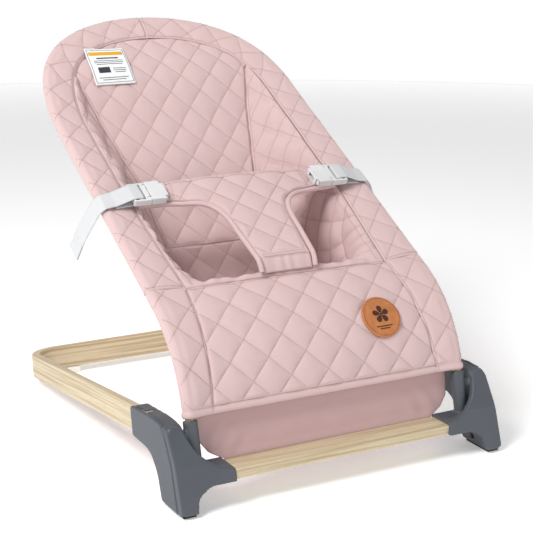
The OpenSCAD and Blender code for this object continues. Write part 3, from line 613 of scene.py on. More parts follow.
SPREAD_LINKS = [
    ("in", "Geometry", "place", "Points"), ("along", "Attribute", "turn", "Secondary Axis"),
    ("up", "Attribute", "turn", "Primary Axis"), ("turn", "Rotation", "place", "Rotation"),
    ("place", "Instances", "real", "Geometry"), ("real", "Geometry", "paint", "Geometry"),
    ("in", "Material", "paint", "Material"), ("paint", "Geometry", "out", "Geometry"),
]


def spread_plan():
    """The nodes that every spreading tree has."""
    named = {"data_type": "FLOAT_VECTOR"}
    return {
        "along": ("GeometryNodeInputNamedAttribute", named, {"Name": "along"}),
        "up": ("GeometryNodeInputNamedAttribute", named, {"Name": "up"}),
        "turn": ("FunctionNodeAxesToRotation", {"primary_axis": "Z", "secondary_axis": "X"}, {}),
        "place": ("GeometryNodeInstanceOnPoints", {}, {}),
        "real": ("GeometryNodeRealizeInstances", {}, {}),
        "paint": ("GeometryNodeSetMaterial", {}, {}),
    }


def stitch_group():
    """A tree that lays one stitch, a bead of thread, at each point."""
    if "stitch_run" in bpy.data.node_groups:
        return bpy.data.node_groups["stitch_run"]
    cloth = bpy.context.scene.bouncer_cloth
    group = node_group("stitch_run", [
        ("Stitch Length", "NodeSocketFloat", cloth.stitch_length),
        ("Stitch Width", "NodeSocketFloat", cloth.stitch_width),
        ("Material", "NodeSocketMaterial", None)])
    plan = spread_plan()
    plan["bead"] = ("GeometryNodeMeshUVSphere", {}, {"Segments": 5, "Rings": 4, "Radius": 0.5})
    plan["size"] = ("ShaderNodeCombineXYZ", {}, {})
    plan["shape"] = ("GeometryNodeTransform", {}, {"Rotation": (0, math.pi / 2, 0)})
    build_nodes(group, plan, SPREAD_LINKS + [
        ("in", "Stitch Width", "size", "X"), ("in", "Stitch Width", "size", "Y"),
        ("in", "Stitch Length", "size", "Z"), ("bead", "Mesh", "shape", "Geometry"),
        ("size", "Vector", "shape", "Scale"), ("shape", "Geometry", "place", "Instance")])
    return group


# ---------------------------------------------------------------- cloth
class Cloth:
    """A piece of cloth on the sling. place() says where its flat point (X, S) lies; low, high, start
    and end bound it; relief() is how far its face stands out; thickness is its own."""

    def __init__(self, place, low, high, start, end, relief, thickness=QUILT_T):
        self.place, self.low, self.high = place, low, high
        self.start, self.end, self.relief, self.thickness = start, end, relief, thickness

    def normal(self, X, S):
        step = 0.4
        across = self.place(X + step, S) - self.place(X - step, S)
        up = self.place(X, S + step) - self.place(X, S - step)
        return unit(np.cross(across, up))

    def face(self, X, S, lift=0.0):
        """The outer face at (X, S) and its normal."""
        n = self.normal(X, S)
        return self.place(X, S) + (self.relief(X, S) + lift)[..., None] * n, n

    def rows(self, step):
        return np.linspace(self.start, self.end, max(4, int((self.end - self.start) / step)))

    def build(self, name, finish="quilted_cloth", mirror=False, rows=None):
        step = bpy.context.scene.bouncer_cloth.grid / MM
        S = self.rows(step) if rows is None else rows
        widest = np.max(self.high(S) - self.low(S))
        r = np.linspace(0, 1, max(4, int(widest / step)))[None, :]
        S = S[:, None] + 0 * r
        X = self.low(S) + (self.high(S) - self.low(S)) * r
        n = self.normal(X, S)
        base, relief = self.place(X, S), self.relief(X, S)[..., None]
        top = base + relief * n
        under = base - (self.thickness + 0.5 * relief) * n
        if mirror:
            top, under = mirrored(top), mirrored(under)
        return shell(name, top, under, finish, np.stack([X, S], -1))

    def flat_size(self):
        """Width, length and area of the cut, in metres, measured along the smooth surface."""
        S = self.rows(4.0)[:, None] + np.zeros((1, 60))
        X = self.low(S) + (self.high(S) - self.low(S)) * np.linspace(0, 1, 60)[None, :]
        p = self.place(X, S)
        across = np.linalg.norm(np.diff(p, axis=1), axis=-1)
        up = np.linalg.norm(np.diff(p, axis=0), axis=-1)
        area = np.linalg.norm(np.cross(p[1:, :-1] - p[:-1, :-1], p[:-1, 1:] - p[:-1, :-1]), axis=-1).sum()
        return across.sum(1).max() * MM, up.sum(0).max() * MM, area * MM * MM


def declare(obj, cloth):
    """Declares obj as cloth with the size of its cut. A narrow cut counts as 0.31 of its box at least."""
    width, long, area = cloth.flat_size()
    width, long = round(width, 3), round(long, 3)
    area = min(max(area, 0.31 * width * long), width * long)


def crease(distance, thread=1.7, pillow=7.5):
    """A stitched line pulled into padding: a tight groove at the thread and a soft pillow beside it."""
    return 1 - 0.4 * np.exp(-(distance / thread) ** 2) - 0.6 * np.exp(-(distance / pillow) ** 2)


class Quilting:
    """Diamond quilting: two families of straight lines through (x0, s0)."""

    def __init__(self, pitch_x, pitch_s, x0, s0):
        self.px, self.ps, self.x0, self.s0 = pitch_x, pitch_s, x0, s0
        self.gap = 1 / math.hypot(1 / pitch_x, 1 / pitch_s)

    def counts(self, X, S):
        across, up = (X - self.x0) / self.px, (S - self.s0) / self.ps
        return across + up, across - up

    def height(self, X, S):
        """0 on a line and about 1 in the middle of a diamond."""
        both = 1.0
        for count in self.counts(X, S):
            both = both * crease((count - np.round(count)) * self.gap)
        return both

    def lines(self, cloth, margin):
        """Runs of (X, S) along the lines, inside the cloth."""
        S = np.arange(cloth.start + margin, cloth.end - margin, 1.0)
        reach = int(max(np.max(cloth.high(S)), -np.min(cloth.low(S))) / self.px
                    + (cloth.end - cloth.start) / self.ps) + 4
        middle = int(round((cloth.start + cloth.end) / 2 / self.ps - self.s0 / self.ps))
        for sign in (1, -1):
            for k in range(-reach - abs(middle), reach + abs(middle) + 1):
                X = self.x0 + self.px * (k - sign * (S - self.s0) / self.ps)
                inside = (X > cloth.low(S) + margin) & (X < cloth.high(S) - margin)
                edges = np.flatnonzero(np.diff(np.concatenate([[0], inside.astype(int), [0]])))
                for a, b in zip(edges[::2], edges[1::2]):
                    if b - a > 3:
                        yield X[a:b], S[a:b]


def stitched(name, cloth, runs, body="seat", mirror=False, sink=-0.22):
    """Stitches along runs of (X, S) on the cloth's face."""
    settings = bpy.context.scene.bouncer_cloth
    pitch = settings.stitch_pitch / MM
    places, alongs, ups = [], [], []
    for X, S in runs:
        X, S = np.asarray(X, float), np.asarray(S, float)
        line, _ = cloth.face(X, S)
        run = run_lengths(line)
        at = np.arange(pitch / 2, run[-1], pitch)
        if not len(at):
            continue
        Xa, Sa = np.interp(at, run, X), np.interp(at, run, S)
        point, up = cloth.face(Xa, Sa, -sink)
        ahead = np.stack([np.interp(at + 0.5, run, line[:, k]) - np.interp(at - 0.5, run, line[:, k])
                          for k in range(3)], -1)
        places.append(point)
        alongs.append(unit(ahead))
        ups.append(up)
    points, along, up = (np.concatenate(v) for v in (places, alongs, ups))
    if mirror:
        points, along, up = mirrored(points), mirrored(along), mirrored(up)
    obj = spread(name, stitch_group(), points, along, up, {}, "thread")
    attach(obj, body)
    return obj


def seam_run(X, S):
    """A run of points with X and S given as numbers or arrays."""
    X, S = np.broadcast_arrays(np.asarray(X, float), np.asarray(S, float))
    return X, S


def waves(X, S, size=1.0):
    """The slow unevenness of hanging cloth."""
    return size * (0.5 * np.sin(X / 31 + S / 47 + 0.6) + 0.35 * np.sin(X / 17 - S / 23 + 2.1)
                   + 0.25 * np.sin(S / 13 + X / 39))


def quilt_front():
    """Quilting of the front panel and the sleeves beside it."""
    pitch = bpy.context.scene.bouncer_cloth.front_pitch / MM
    return Quilting(pitch, pitch, 1.6, 67.0)


def quilt_back():
    """Quilting of the backrest, the bib and the side sleeves."""
    cloth = bpy.context.scene.bouncer_cloth
    return Quilting(cloth.back_pitch / MM, cloth.back_rise / MM, 2.8, 468.0)


def puff_mm():
    """How far the filling stands up, in millimetres."""
    return bpy.context.scene.bouncer_cloth.puff / MM


def seam_roll(distance, depth=1.5, width=1.6):
    """How cloth rolls down into a seam."""
    return -depth * np.exp(-np.maximum(distance, 0) / width)


HEM_H = 8.0


def hem_band(S):
    """The turned-up hem: a plump band, with a crease where it is stitched down."""
    t = (S - HEM_S) / HEM_H
    band = 1.3 * np.sqrt(np.clip(1 - (2 * t - 1) ** 2, 0, 1))
    return np.where(t < 1, band, 0) - 1.2 * np.exp(-np.abs(S - HEM_S - HEM_H) / 1.3)


def front_cloth():
    """The panel between the side seams, from the hem to the crotch."""
    quilt = quilt_front()

    def half(S):
        return seat_seam(S) - SEAM_GAP

    def place(X, S):
        return on_sling(X, S, QUILT_T / 2 + 0 * X)

    def relief(X, S):
        above = ease((S - HEM_S - HEM_H) / 4)
        top = ease((CROTCH_S - S) / 8)
        puffed = puff_mm() * quilt.height(X, S) * above * (0.35 + 0.65 * top)
        pull = 0.5 * waves(X, S) * above * top * ease((half(S) - np.abs(X)) / 20)
        side = seam_roll(half(S) - np.abs(X)) * above
        return puffed + pull + side + hem_band(S) + seam_roll(CROTCH_S - S, 0.8, 1.2)

    return Cloth(place, lambda S: -half(S), half, HEM_S, CROTCH_S, relief), quilt


def section_parts(w):
    """Of a sleeve's section: the straight run from seam to rod, and the angle where the run meets it."""
    reach = np.hypot(w, QUILT_T / 2)
    run = np.sqrt(reach ** 2 - SLEEVE_R ** 2)
    touch = math.pi / 2 + np.arctan2(QUILT_T / 2, w) + np.arcsin((SLEEVE_R - QUILT_T / 2) / reach)
    return run, touch


def section(a, w):
    """Section of a sleeve at flat distance a from its upper seam: out from the rod, and up."""
    run, turn = section_parts(w)
    arc = 2 * turn * SLEEVE_R
    touch = np.stack([SLEEVE_R * np.cos(turn), SLEEVE_R * np.sin(turn)], -1)
    seam = np.stack([-w, QUILT_T / 2 + 0 * w], -1)
    first = seam + (touch - seam) * np.clip(a / run, 0, 1)[..., None]
    phi = turn - (a - run) / SLEEVE_R
    middle = np.stack([SLEEVE_R * np.cos(phi), SLEEVE_R * np.sin(phi)], -1)
    below = np.array([1, -1])
    last = (touch + (seam - touch) * np.clip((a - run - arc) / run, 0, 1)[..., None]) * below
    at = a[..., None]
    return np.where(at < run[..., None], first, np.where(at < (run + arc)[..., None], middle, last))


def section_length(w):
    """Flat width of a sleeve's cloth."""
    run, turn = section_parts(w)
    return 2 * run + 2 * turn * SLEEVE_R


def sleeve_cloth(start, end, quilt, hem=False):
    """A sleeve on the right-hand side, from start to end along the rod."""

    def place(X, S):
        w = band_width(S)
        q = section(X, w)
        out, up = along_path(PATH_OUT, S), along_path(PATH_UP, S)
        return along_path(PATH, S) + q[..., :1] * out + q[..., 1:] * up

    def relief(X, S):
        w = band_width(S)
        edge = np.minimum(X, section_length(w) - X)
        on_band = ease(X / 6)
        flat_part = 0.05 + 0.6 * ease((w - X) / 9)
        puffed = flat_part * puff_mm() * quilt.height(X + ROD_X - w, S) * on_band
        ends = seam_roll(S - start, 0 if hem else 1.1, 1.4) + seam_roll(end - S, 1.1, 1.4)
        above = ease((S - HEM_S - HEM_H) / 4) if hem else 1.0
        depth = 1.5 - 0.5 * ease((S - S_ARCH - 60) / 80)
        slack = 0.5 * flat_part * waves(X * 1.7, S) * on_band
        turned_up = hem_band(S) if hem else 0
        return (puffed + slack + seam_roll(edge, depth)) * above + ends + turned_up

    return Cloth(place, lambda S: 0 * S, lambda S: section_length(band_width(S)), start, end, relief,
                 CLOTH_T)


BACK_SLOPE, BACK_END_S, BACK_SOFT = 0.33, 548.0, 8.0


def back_depth(s):
    """How far the backrest hangs behind the rods' plane: a slope that ends softly."""
    d = BACK_SLOPE * (BACK_END_S - s)
    return np.where(d > BACK_SOFT, d, np.where(d < -BACK_SOFT, 0, (d + BACK_SOFT) ** 2 / (4 * BACK_SOFT)))


CENTRE_S, CENTRE_HALF, CENTRE_FLARE_LOW, CENTRE_FLARE_HIGH = 389.0, 81.0, 0.08, 0.27


def centre_half(s):
    """Half width of the backrest's centre panel, which flares more above CENTRE_S."""
    return CENTRE_HALF + np.where(s < CENTRE_S, CENTRE_FLARE_LOW, CENTRE_FLARE_HIGH) * (s - CENTRE_S)


def back_h(x, s):
    """How far out of the rods' plane the backrest lies."""
    b = inner_x(s)
    k = np.minimum(centre_half(s), b - 1)
    f = 1 - ease((np.abs(x) - k) / (b - k))
    return -back_depth(s) * f + QUILT_T / 2 * (1 - f)


def place_back(X, S):
    """A place on the backrest."""
    return on_sling(X, S, back_h(X, S))


MEET_S = np.interp(0, (centre_half(np.arange(500, 600)) - inner_x(np.arange(500, 600))), np.arange(500, 600))


def back_cloth():
    """The centre of the backrest, up to the inside of the arch."""
    quilt = quilt_back()
    top = INNER_TOP - 0.4

    def half(S):
        return np.maximum(0.6, np.minimum(centre_half(S), inner_x(S)) - SEAM_GAP)

    def relief(X, S):
        side = half(S) - np.abs(X)
        rim = np.minimum(side, (top - S) * 1.0)
        upper = ease((S - MEET_S + 12) / 24)
        puffed = 0.75 * puff_mm() * quilt.height(X, S) * ease(rim / 4) * ease((S - WELL_S) / 5)
        return puffed + 0.45 * waves(X, S) * ease(rim / 25) + seam_roll(rim, 1.3 - 0.3 * upper, 1.5)

    return Cloth(place_back, lambda S: -half(S), half, WELL_S, top, relief), quilt


def evened(place, low, high, start, end, centred):
    """The same surface with X as true length across it, so that quilting and mesh keep their size on
    steep walls. Returns the new place() and the new width at S."""
    rows, steps = 90, 240
    S = np.linspace(start, end, rows)
    t = np.linspace(0, 1, steps)
    X = low(S)[:, None] + (high(S) - low(S))[:, None] * t
    spots = place(X, S[:, None] + 0 * X)
    runs = np.cumsum(np.linalg.norm(np.diff(spots, axis=1), axis=-1), axis=1)
    runs = np.concatenate([np.zeros((rows, 1)), runs], axis=1)
    total = runs[:, -1]
    table = np.array([np.interp(t, run / run[-1], t) for run in runs])

    def width(s):
        return np.interp(s, S, total)

    def place_even(U, s):
        U, s = np.broadcast_arrays(np.asarray(U, float), np.asarray(s, float))
        across = (U + (width(s) / 2 if centred else 0)) / width(s)
        i = np.clip((s - start) / (end - start) * (rows - 1), 0, rows - 1.001)
        j = across * (steps - 1)
        jc = np.clip(j, 0, steps - 1.001)
        i0, j0 = i.astype(int), jc.astype(int)
        a, b = i - i0, jc - j0
        r = ((1 - a) * ((1 - b) * table[i0, j0] + b * table[i0, j0 + 1])
             + a * ((1 - b) * table[i0 + 1, j0] + b * table[i0 + 1, j0 + 1])) + (j - jc) / steps
        return place(low(s) + (high(s) - low(s)) * r, s)

    return place_even, width


def gusset_cloth():
    """The gusset between the centre and the band, on the right-hand side. X runs from the centre out."""
    quilt = quilt_back()

    def low(S):
        return centre_half(S) + SEAM_GAP

    def high(S):
        return np.maximum(low(S) + 0.5, inner_x(S) - SEAM_GAP)

    start, end = WELL_S, MEET_S - 2
    place, width = evened(place_back, low, high, start, end, False)

    def relief(X, S):
        rim = np.maximum(0, np.minimum(X, width(S) - X))
        slack = 1.0 * np.sin(S / 9.5 + X / 12) * ease(rim / 14) * ease((480 - S) / 120)
        puffed = 0.9 * puff_mm() * quilt.height(X + 7, S) * ease(rim / 4) * ease((S - WELL_S) / 5)
        return puffed + slack + 0.4 * waves(X, S) * ease(rim / 10) + seam_roll(rim, 1.3, 1.5)

    return Cloth(place, lambda S: 0.0 * S, width, start, end, relief), quilt


def bezier(points, t):
    a, b, c, d = (np.array(p, float) for p in points)
    t = np.asarray(t)[..., None]
    return (1 - t) ** 3 * a + 3 * t * (1 - t) ** 2 * b + 3 * t * t * (1 - t) * c + t ** 3 * d


# The well's middle line as (s, depth): down from the backrest, round the seat, up to the crotch,
# and over a soft lip on to the crotch seam
WELL_D = float(back_depth(WELL_S))
WELL_PARTS = [
    [(WELL_S, WELL_D), (222, WELL_D + 26), (176, 138), (160, 14)],
    [(160, 14), (158.6, 3), (157, -2.6), (152, -2.4)],
    [(152, -2.4), (149.5, -2.2), (147.5, -1.6), (CROTCH_S + 0.4, -0.6)],
]
_u = np.linspace(0, 1, 160)
WELL_LINE = np.concatenate([bezier(part, _u) for part in WELL_PARTS])
WELL_LINE = WELL_LINE[np.concatenate([[True], np.linalg.norm(np.diff(WELL_LINE, axis=0), axis=1) > 1e-6])]
_run = run_lengths(WELL_LINE)
WELL_L = _run[-1]


def well_cloth():
    """The seat: S runs from 0 at the crotch seam to WELL_L at the backrest."""
    quilt = Quilting(bpy.context.scene.bouncer_cloth.back_pitch / MM,
                     bpy.context.scene.bouncer_cloth.back_rise / MM, 2.8, 30.0)

    def spot(S):
        back = WELL_L - S
        return np.interp(back, _run, WELL_LINE[:, 0]), np.interp(back, _run, WELL_LINE[:, 1])

    def share(S):
        return np.clip(1 - S / WELL_L, 0, 1)

    def span(S):
        return seat_seam(WELL_S + (CROTCH_S - WELL_S) * share(S)) - SEAM_GAP

    def hang(X, S):
        s, depth = spot(S)
        edge = WELL_S + (CROTCH_S + 0.4 - WELL_S) * share(S)
        a = np.abs(X) / span(S)
        k = centre_half(WELL_S) / inner_x(WELL_S) + 0.15 * np.sin(math.pi * (1 - share(S)))
        f = 1 - ease((a - k) / (1 - k))
        return on_sling(X, s * f + edge * (1 - f), -depth * f + QUILT_T / 2 * (1 - f))

    place, width = evened(hang, lambda S: -span(S), span, 0.0, WELL_L, True)

    def half(S):
        return width(S) / 2

    def relief(X, S):
        side = half(S) - np.abs(X)
        lip = np.exp(-(((S - 13) / 11) ** 2)) * ease(side / 16)
        gathers = (0.8 * np.sin(X / 3.1 + 0.9 * np.sin(X / 17)) + 0.9 * np.sin(X / 7.1 + 1.3)) * lip
        puffed = puff_mm() * 1.2 * quilt.height(X, S) * ease((S - 26) / 14) * ease(side / 6) * ease(
            (WELL_L - S) / 5)
        folds = 0.9 * np.sin(S / 13 + np.abs(X) / 11) * np.exp(-(((side - 40) / 26) ** 2)) * ease(S / 60)
        return puffed + gathers + folds + 0.7 * waves(X, S, 1.2) * ease(side / 20) + seam_roll(side, 1.2) \
            + seam_roll(S, 0.9, 1.2) + seam_roll(WELL_L - S, 0.2)

    return Cloth(place, lambda S: -half(S), half, 0.0, WELL_L, relief), quilt


# Outline of the bib as (s, half width): a tongue that opens into wings under the buckles
BIB_OUTLINE = np.array([(148, 31), (160, 32), (200, 35), (238, 38), (260, 47), (272, 62), (280, 85),
                        (286, 112), (291, 133), (298, 122), (306, 106), (BIB_TOP_S, 97)], float)
BIB_RISE = 13.0


def bib_h(x, s):
    """How far out of the rods' plane the bib's underside lies."""
    ramp = np.where(s < CROTCH_S + 20, np.sin(math.pi / 2 * np.clip((s - CROTCH_S) / 20, 0, 1)), 1)
    return 1.2 + (BIB_RISE - 1.2) * (1 - np.minimum(1, np.abs(x) / 142) ** 2.5) * ramp


def spline(points, count):
    """A smooth curve through the points, evenly spaced."""
    p = np.vstack([2 * points[0] - points[1], points, 2 * points[-1] - points[-2]])
    t = np.linspace(0, 1, 24, endpoint=False)[:, None]
    parts = []
    for a, b, c, d in zip(p, p[1:], p[2:], p[3:]):
        parts.append(0.5 * (2 * b + (c - a) * t + (2 * a - 5 * b + 4 * c - d) * t ** 2
                            + (3 * b - a - 3 * c + d) * t ** 3))
    line = np.vstack(parts + [points[-1:]])
    run = run_lengths(line)
    at = np.linspace(0, run[-1], count)
    return np.stack([np.interp(at, run, line[:, k]) for k in range(line.shape[1])], -1)


WING = int(np.argmax(BIB_OUTLINE[:, 1]))
BIB_LEG = spline(BIB_OUTLINE[: WING + 1], 260)
TAB_TOP = 163.5
PIPING_R, PIPING_OUT, PIPING_SIDES = 3.0, 3.7, 22
SIDE_SEAM_X = 89.0


def bib_cloth():
    """The bib: a gathered tab at the crotch, a hem band, the tongue and its wings."""
    quilt = Quilting(bpy.context.scene.bouncer_cloth.back_pitch / MM,
                     bpy.context.scene.bouncer_cloth.back_rise / MM, 2.8, 284.0)
    outline = np.vstack([BIB_LEG, BIB_OUTLINE[WING + 1:]])

    def half(S):
        return np.interp(S, outline[:, 0], outline[:, 1])

    def place(X, S):
        return on_sling(X, S, bib_h(X, S) + QUILT_T)

    def relief(X, S):
        rim = np.minimum(half(S) - np.abs(X), BIB_TOP_S - S)
        quilted = ease((S - TAB_TOP - 4.5) / 4)
        puffed = 0.8 * puff_mm() * quilt.height(X, S) * quilted * ease(rim / 8)
        tab = 1 - ease((S - TAB_TOP) / 1.2)
        gathers = tab * (0.4 * np.sin(X / 2.3 + 0.9 * np.sin(X / 7)) * ease((half(S) - np.abs(X)) / 5) - 1.5)
        band = 0.5 * np.exp(-(((S - TAB_TOP - 2.4) / 1.9) ** 2)) - 0.7 * np.exp(
            -np.abs(S - TAB_TOP - 5.4) / 0.9)
        seam = -0.9 * np.exp(-np.abs(np.abs(X) - SIDE_SEAM_X - (BIB_TOP_S - S) ** 2 / 260) / 1.1) * ease(
            (S - 279) / 6)
        top = seam_roll(BIB_TOP_S - S, 1.2, 1.6)
        return puffed + gathers + band + seam + top + 0.35 * waves(X, S) * ease(rim / 16) * quilted \
            + seam_roll(half(S) - np.abs(X), 1.1, 1.3)

    return Cloth(place, lambda S: -half(S), half, BIB_OUTLINE[0, 0], BIB_TOP_S, relief), quilt, half


def ring_sweep(centres, across, up, outline):
    """Rings of the outline's (across, up) points at each centre."""
    return (centres[:, None] + outline[None, :, :1] * across[:, None] + outline[None, :, 1:] * up[:, None])


def circle(radius, count=20):
    """Points round a circle."""
    a = np.linspace(0, 2 * math.pi, count, endpoint=False)
    return radius * np.stack([np.cos(a), np.sin(a)], -1)


def rounded_outline(width, height, radius, steps=5):
    """A rounded rectangle about its middle, as (width, height) points."""
    corners = []
    for k, (sx, sy) in enumerate(((1, 1), (-1, 1), (-1, -1), (1, -1))):
        a = math.pi / 2 * (k + np.linspace(0, 1, steps))
        corners.append(np.stack([sx * (width / 2 - radius) + radius * np.cos(a),
                                 sy * (height / 2 - radius) + radius * np.sin(a)], -1))
    return np.concatenate(corners)


def frames(line, up):
    """The way across each point of a line, and its own up."""
    along = unit(np.gradient(line, axis=0))
    across = unit(np.cross(along, up))
    return across, np.cross(across, along)


# ---------------------------------------------------------------- the sling
EDGE_STITCH = 1.6  # how near a seam the quilting runs


def runs_above(runs, low):
    """The parts of the runs that lie above low, but for scraps."""
    cut = [(x[s > low], s[s > low]) for x, s in runs]
    return [run for run in cut if len(run[0]) > 4]


def sling_front():
    """The front panel and the sleeves at its sides."""
    cloth, quilt = front_cloth()
    obj = settle(cloth.build("front_quilted_panel"), "seat", "quilted_cloth", "front_panel")
    reach = cloth.high(np.array(60.0)) - 3
    X = np.arange(-reach, reach, 1.0)
    runs = runs_above(quilt.lines(cloth, EDGE_STITCH), HEM_S + HEM_H + 1)
    threads = stitched("front_panel_quilt_stitches", cloth, runs)
    hem = stitched("front_hem_stitches", cloth, [seam_run(X, HEM_S + HEM_H)])
    top = stitched("crotch_seam_stitches", cloth, [seam_run(X, CROTCH_S - 3.5)])
    declare(obj, cloth)
    for side, mirror in SIDES:
        sleeve = sleeve_cloth(HEM_S, CROTCH_S - SEAM_GAP, quilt, hem=True)
        skin = settle(sleeve.build(side + "_front_rod_sleeve", mirror=mirror), "seat", "quilted_cloth",
                      side + "_front_sleeve")
        S = np.arange(HEM_S + 2, CROTCH_S - 3, 1.0)
        seam = stitched(side + "_front_seam_stitches", sleeve,
                        [seam_run(2.6, S)] + list(sleeve_lines(sleeve, quilt, HEM_H)), mirror=mirror)
        declare(skin, sleeve)


def sleeve_lines(sleeve, quilt, above=0.0):
    """The quilting that runs on from the panel over the flat of a sleeve."""
    S = np.arange(sleeve.start + 2 + above, sleeve.end - 2, 1.0)
    w = band_width(S)
    reach = int((sleeve.end - sleeve.start) / quilt.ps) + 12
    for sign in (1, -1):
        for k in range(-reach, reach + 1):
            X = quilt.x0 + quilt.px * (k + sign * (S - quilt.s0) / quilt.ps) - ROD_X + w
            inside = (X > 1.6) & (X < w + 9)
            edges = np.flatnonzero(np.diff(np.concatenate([[0], inside.astype(int), [0]])))
            for a, b in zip(edges[::2], edges[1::2]):
                if b - a > 3:
                    yield X[a:b], S[a:b]


def sling_sides():
    """The sleeves of the hoop, from the crotch seam to the top of the arch."""
    quilt = quilt_back()
    for side, mirror in SIDES:
        sleeve = sleeve_cloth(CROTCH_S + SEAM_GAP, PATH_END - SEAM_GAP, quilt)
        skin = settle(sleeve.build(side + "_rod_sleeve", mirror=mirror), "seat", "quilted_cloth",
                      side + "_side_sleeve")
        S = np.arange(CROTCH_S + 4, PATH_END - 3, 1.0)
        ends = np.arange(3.0, 60.0, 1.0)
        runs = [seam_run(2.8, S), seam_run(ends, CROTCH_S + 3.2), seam_run(ends[:34], PATH_END - 2.6)]
        runs += list(sleeve_lines(sleeve, quilt))
        seams = stitched(side + "_sleeve_stitches", sleeve, runs, mirror=mirror)
        declare(skin, sleeve)


def quilt_seams(name, cloth, quilt, runs, mirror=False):
    """The quilting's stitches, and those along the runs."""
    return stitched(name, cloth, list(quilt.lines(cloth, EDGE_STITCH)) + runs, mirror=mirror)


def sling_back():
    """The backrest's centre panel and its two gussets."""
    cloth, quilt = back_cloth()
    step = bpy.context.scene.bouncer_cloth.grid / MM
    arch = INNER_S[(INNER_S > 540) & (INNER_S < cloth.end)]
    rows = np.unique(np.concatenate([np.arange(WELL_S, 540, step), arch[::3], [cloth.start, cloth.end]]))
    obj = settle(cloth.build("back_centre_panel", rows=rows), "seat", "quilted_cloth", "back_panel")
    S = np.arange(WELL_S + 3, INNER_TOP - 12, 1.0)
    sides = [seam_run(sign * (cloth.high(S) - 2.6), S) for sign in (-1, 1)]
    threads = quilt_seams("back_panel_stitches", cloth, quilt, sides)
    declare(obj, cloth)
    for side, mirror in SIDES:
        gusset, quilt = gusset_cloth()
        skin = settle(gusset.build(side + "_back_gusset", mirror=mirror), "seat", "quilted_cloth",
                      side + "_gusset")
        S = np.arange(WELL_S + 3, MEET_S - 30, 1.0)
        threads = quilt_seams(side + "_gusset_stitches", gusset, quilt,
                              [seam_run(2.4, S), seam_run(gusset.high(S) - 2.4, S)], mirror)
        declare(skin, gusset)


def sling_well():
    """The seat itself, hung between the front panel and the backrest."""
    cloth, quilt = well_cloth()
    obj = settle(cloth.build("seat_well_cloth"), "seat", "quilted_cloth", "seat_well")
    lines = runs_above(quilt.lines(cloth, EDGE_STITCH), 32)
    S = np.arange(6, WELL_L - 3, 1.0)
    folds = [seam_run(sign * (cloth.high(S) - 9), S) for sign in (-1, 1)]
    threads = stitched("seat_well_stitches", cloth, lines + folds)
    declare(obj, cloth)


def bib_and_piping():
    """The bib with the corded edges of its leg holes."""
    cloth, quilt, half = bib_cloth()
    rows = np.unique(np.concatenate([np.arange(148, 268, 1.7), np.arange(268, 292, 0.8),
                                     np.arange(292, BIB_TOP_S, 1.7), [BIB_TOP_S]]))
    obj = settle(cloth.build("bib_cloth", rows=rows), "seat", "quilted_cloth", "bib")
    lines = runs_above(quilt.lines(cloth, EDGE_STITCH), TAB_TOP + 7)
    wing = np.arange(281, BIB_TOP_S - 2, 1.0)
    bend = SIDE_SEAM_X + (BIB_TOP_S - wing) ** 2 / 260
    hem = np.arange(-28, 28.1, 1.0)
    extra = []
    for off in (-2.6, 2.6):
        on_wing = bend + off < half(wing) - 2
        extra += [seam_run(sign * (bend + off)[on_wing], wing[on_wing]) for sign in (-1, 1)]
    extra += [seam_run(hem, TAB_TOP + 5.0), seam_run(hem, TAB_TOP + 0.9)]
    top = np.arange(-92, 92.1, 1.0)
    extra.append(seam_run(top, BIB_TOP_S - 7.0))
    threads = stitched("bib_stitches", cloth, lines + extra)
    declare(obj, cloth)
    line = BIB_LEG[BIB_LEG[:, 0] > 149]
    for side, mirror in SIDES:
        tangent = unit(np.gradient(line, axis=0))
        inward = np.stack([tangent[:, 1], -tangent[:, 0]], -1)
        edge = line - PIPING_OUT * inward
        s, x = edge[:, 0], np.minimum(edge[:, 1], 132.0)
        h = bib_h(x, s) + PIPING_R - 0.1 - 2.5 * ease((x - 60) / 25)
        centres = on_sling(x, s, h)
        across, up = frames(centres, sling_up(s))
        rings = ring_sweep(centres, across, up, circle(PIPING_R, PIPING_SIDES))
        run = run_lengths(centres)
        around = np.linspace(0, 2 * math.pi * PIPING_R, PIPING_SIDES, endpoint=False)
        flat = np.stack(np.broadcast_arrays(around[None, :], run[:, None]), -1)
        rings = mirrored(rings) if mirror else rings
        cord = settle(tube(side + "_bib_piping", rings, "piping_cloth", flat), "seat", "piping_cloth",
                      side + "_piping")


LOWER_ROWS = np.array([(28.7, 33.9, 112), (32.7, 33.9, 128), (39.3, 33.9, 134), (48, 37.9, 150),
                       (60, 40.9, 159), (80, 46.9, 162), (112, 55.9, 160)], float)


def lower_cloth():
    """The plain panel behind the bar. S is the height above the floor."""

    def spot(S):
        return np.interp(S, LOWER_ROWS[:, 0], LOWER_ROWS[:, 1])

    def half(S):
        return np.interp(S, LOWER_ROWS[:, 0], LOWER_ROWS[:, 2])

    def place(X, S):
        return np.stack(np.broadcast_arrays(X, spot(S) + BAR_FRONT + 0.2, S), -1)

    def relief(X, S):
        side = ease((half(S) - np.abs(X)) / 6)
        low = ease((S - 40) / 8) * ease((96 - S) / 45)
        corner = np.exp(-(((np.abs(X) - 128) / 26) ** 2))
        gathers = (np.sin((X * 0.62 + S * 0.35 * np.sign(X)) / 2.6) * corner * 0.8
                   + 0.22 * np.sin(X / 11 + 1) + 0.15 * np.sin(X / 5.3)) * low
        return 0.3 + (gathers + 0.3 * waves(X, S) * ease((S - 42) / 12)) * side

    return Cloth(place, lambda S: -half(S), half, 28.9, 112.0, relief, 2.0)


def lower_panel():
    """The plain panel, which gives as the seat bounces."""
    cloth = lower_cloth()
    obj = cloth.build("plain_lower_panel", "plain_cloth")
    settle_slot(obj, "plain_cloth", "lower_panel")
    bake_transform(obj)
    declare(obj, cloth)


def settle_slot(obj, slot, *nodes):
    """As settle(), for a piece that bends between two bodies."""
    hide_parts(*nodes)


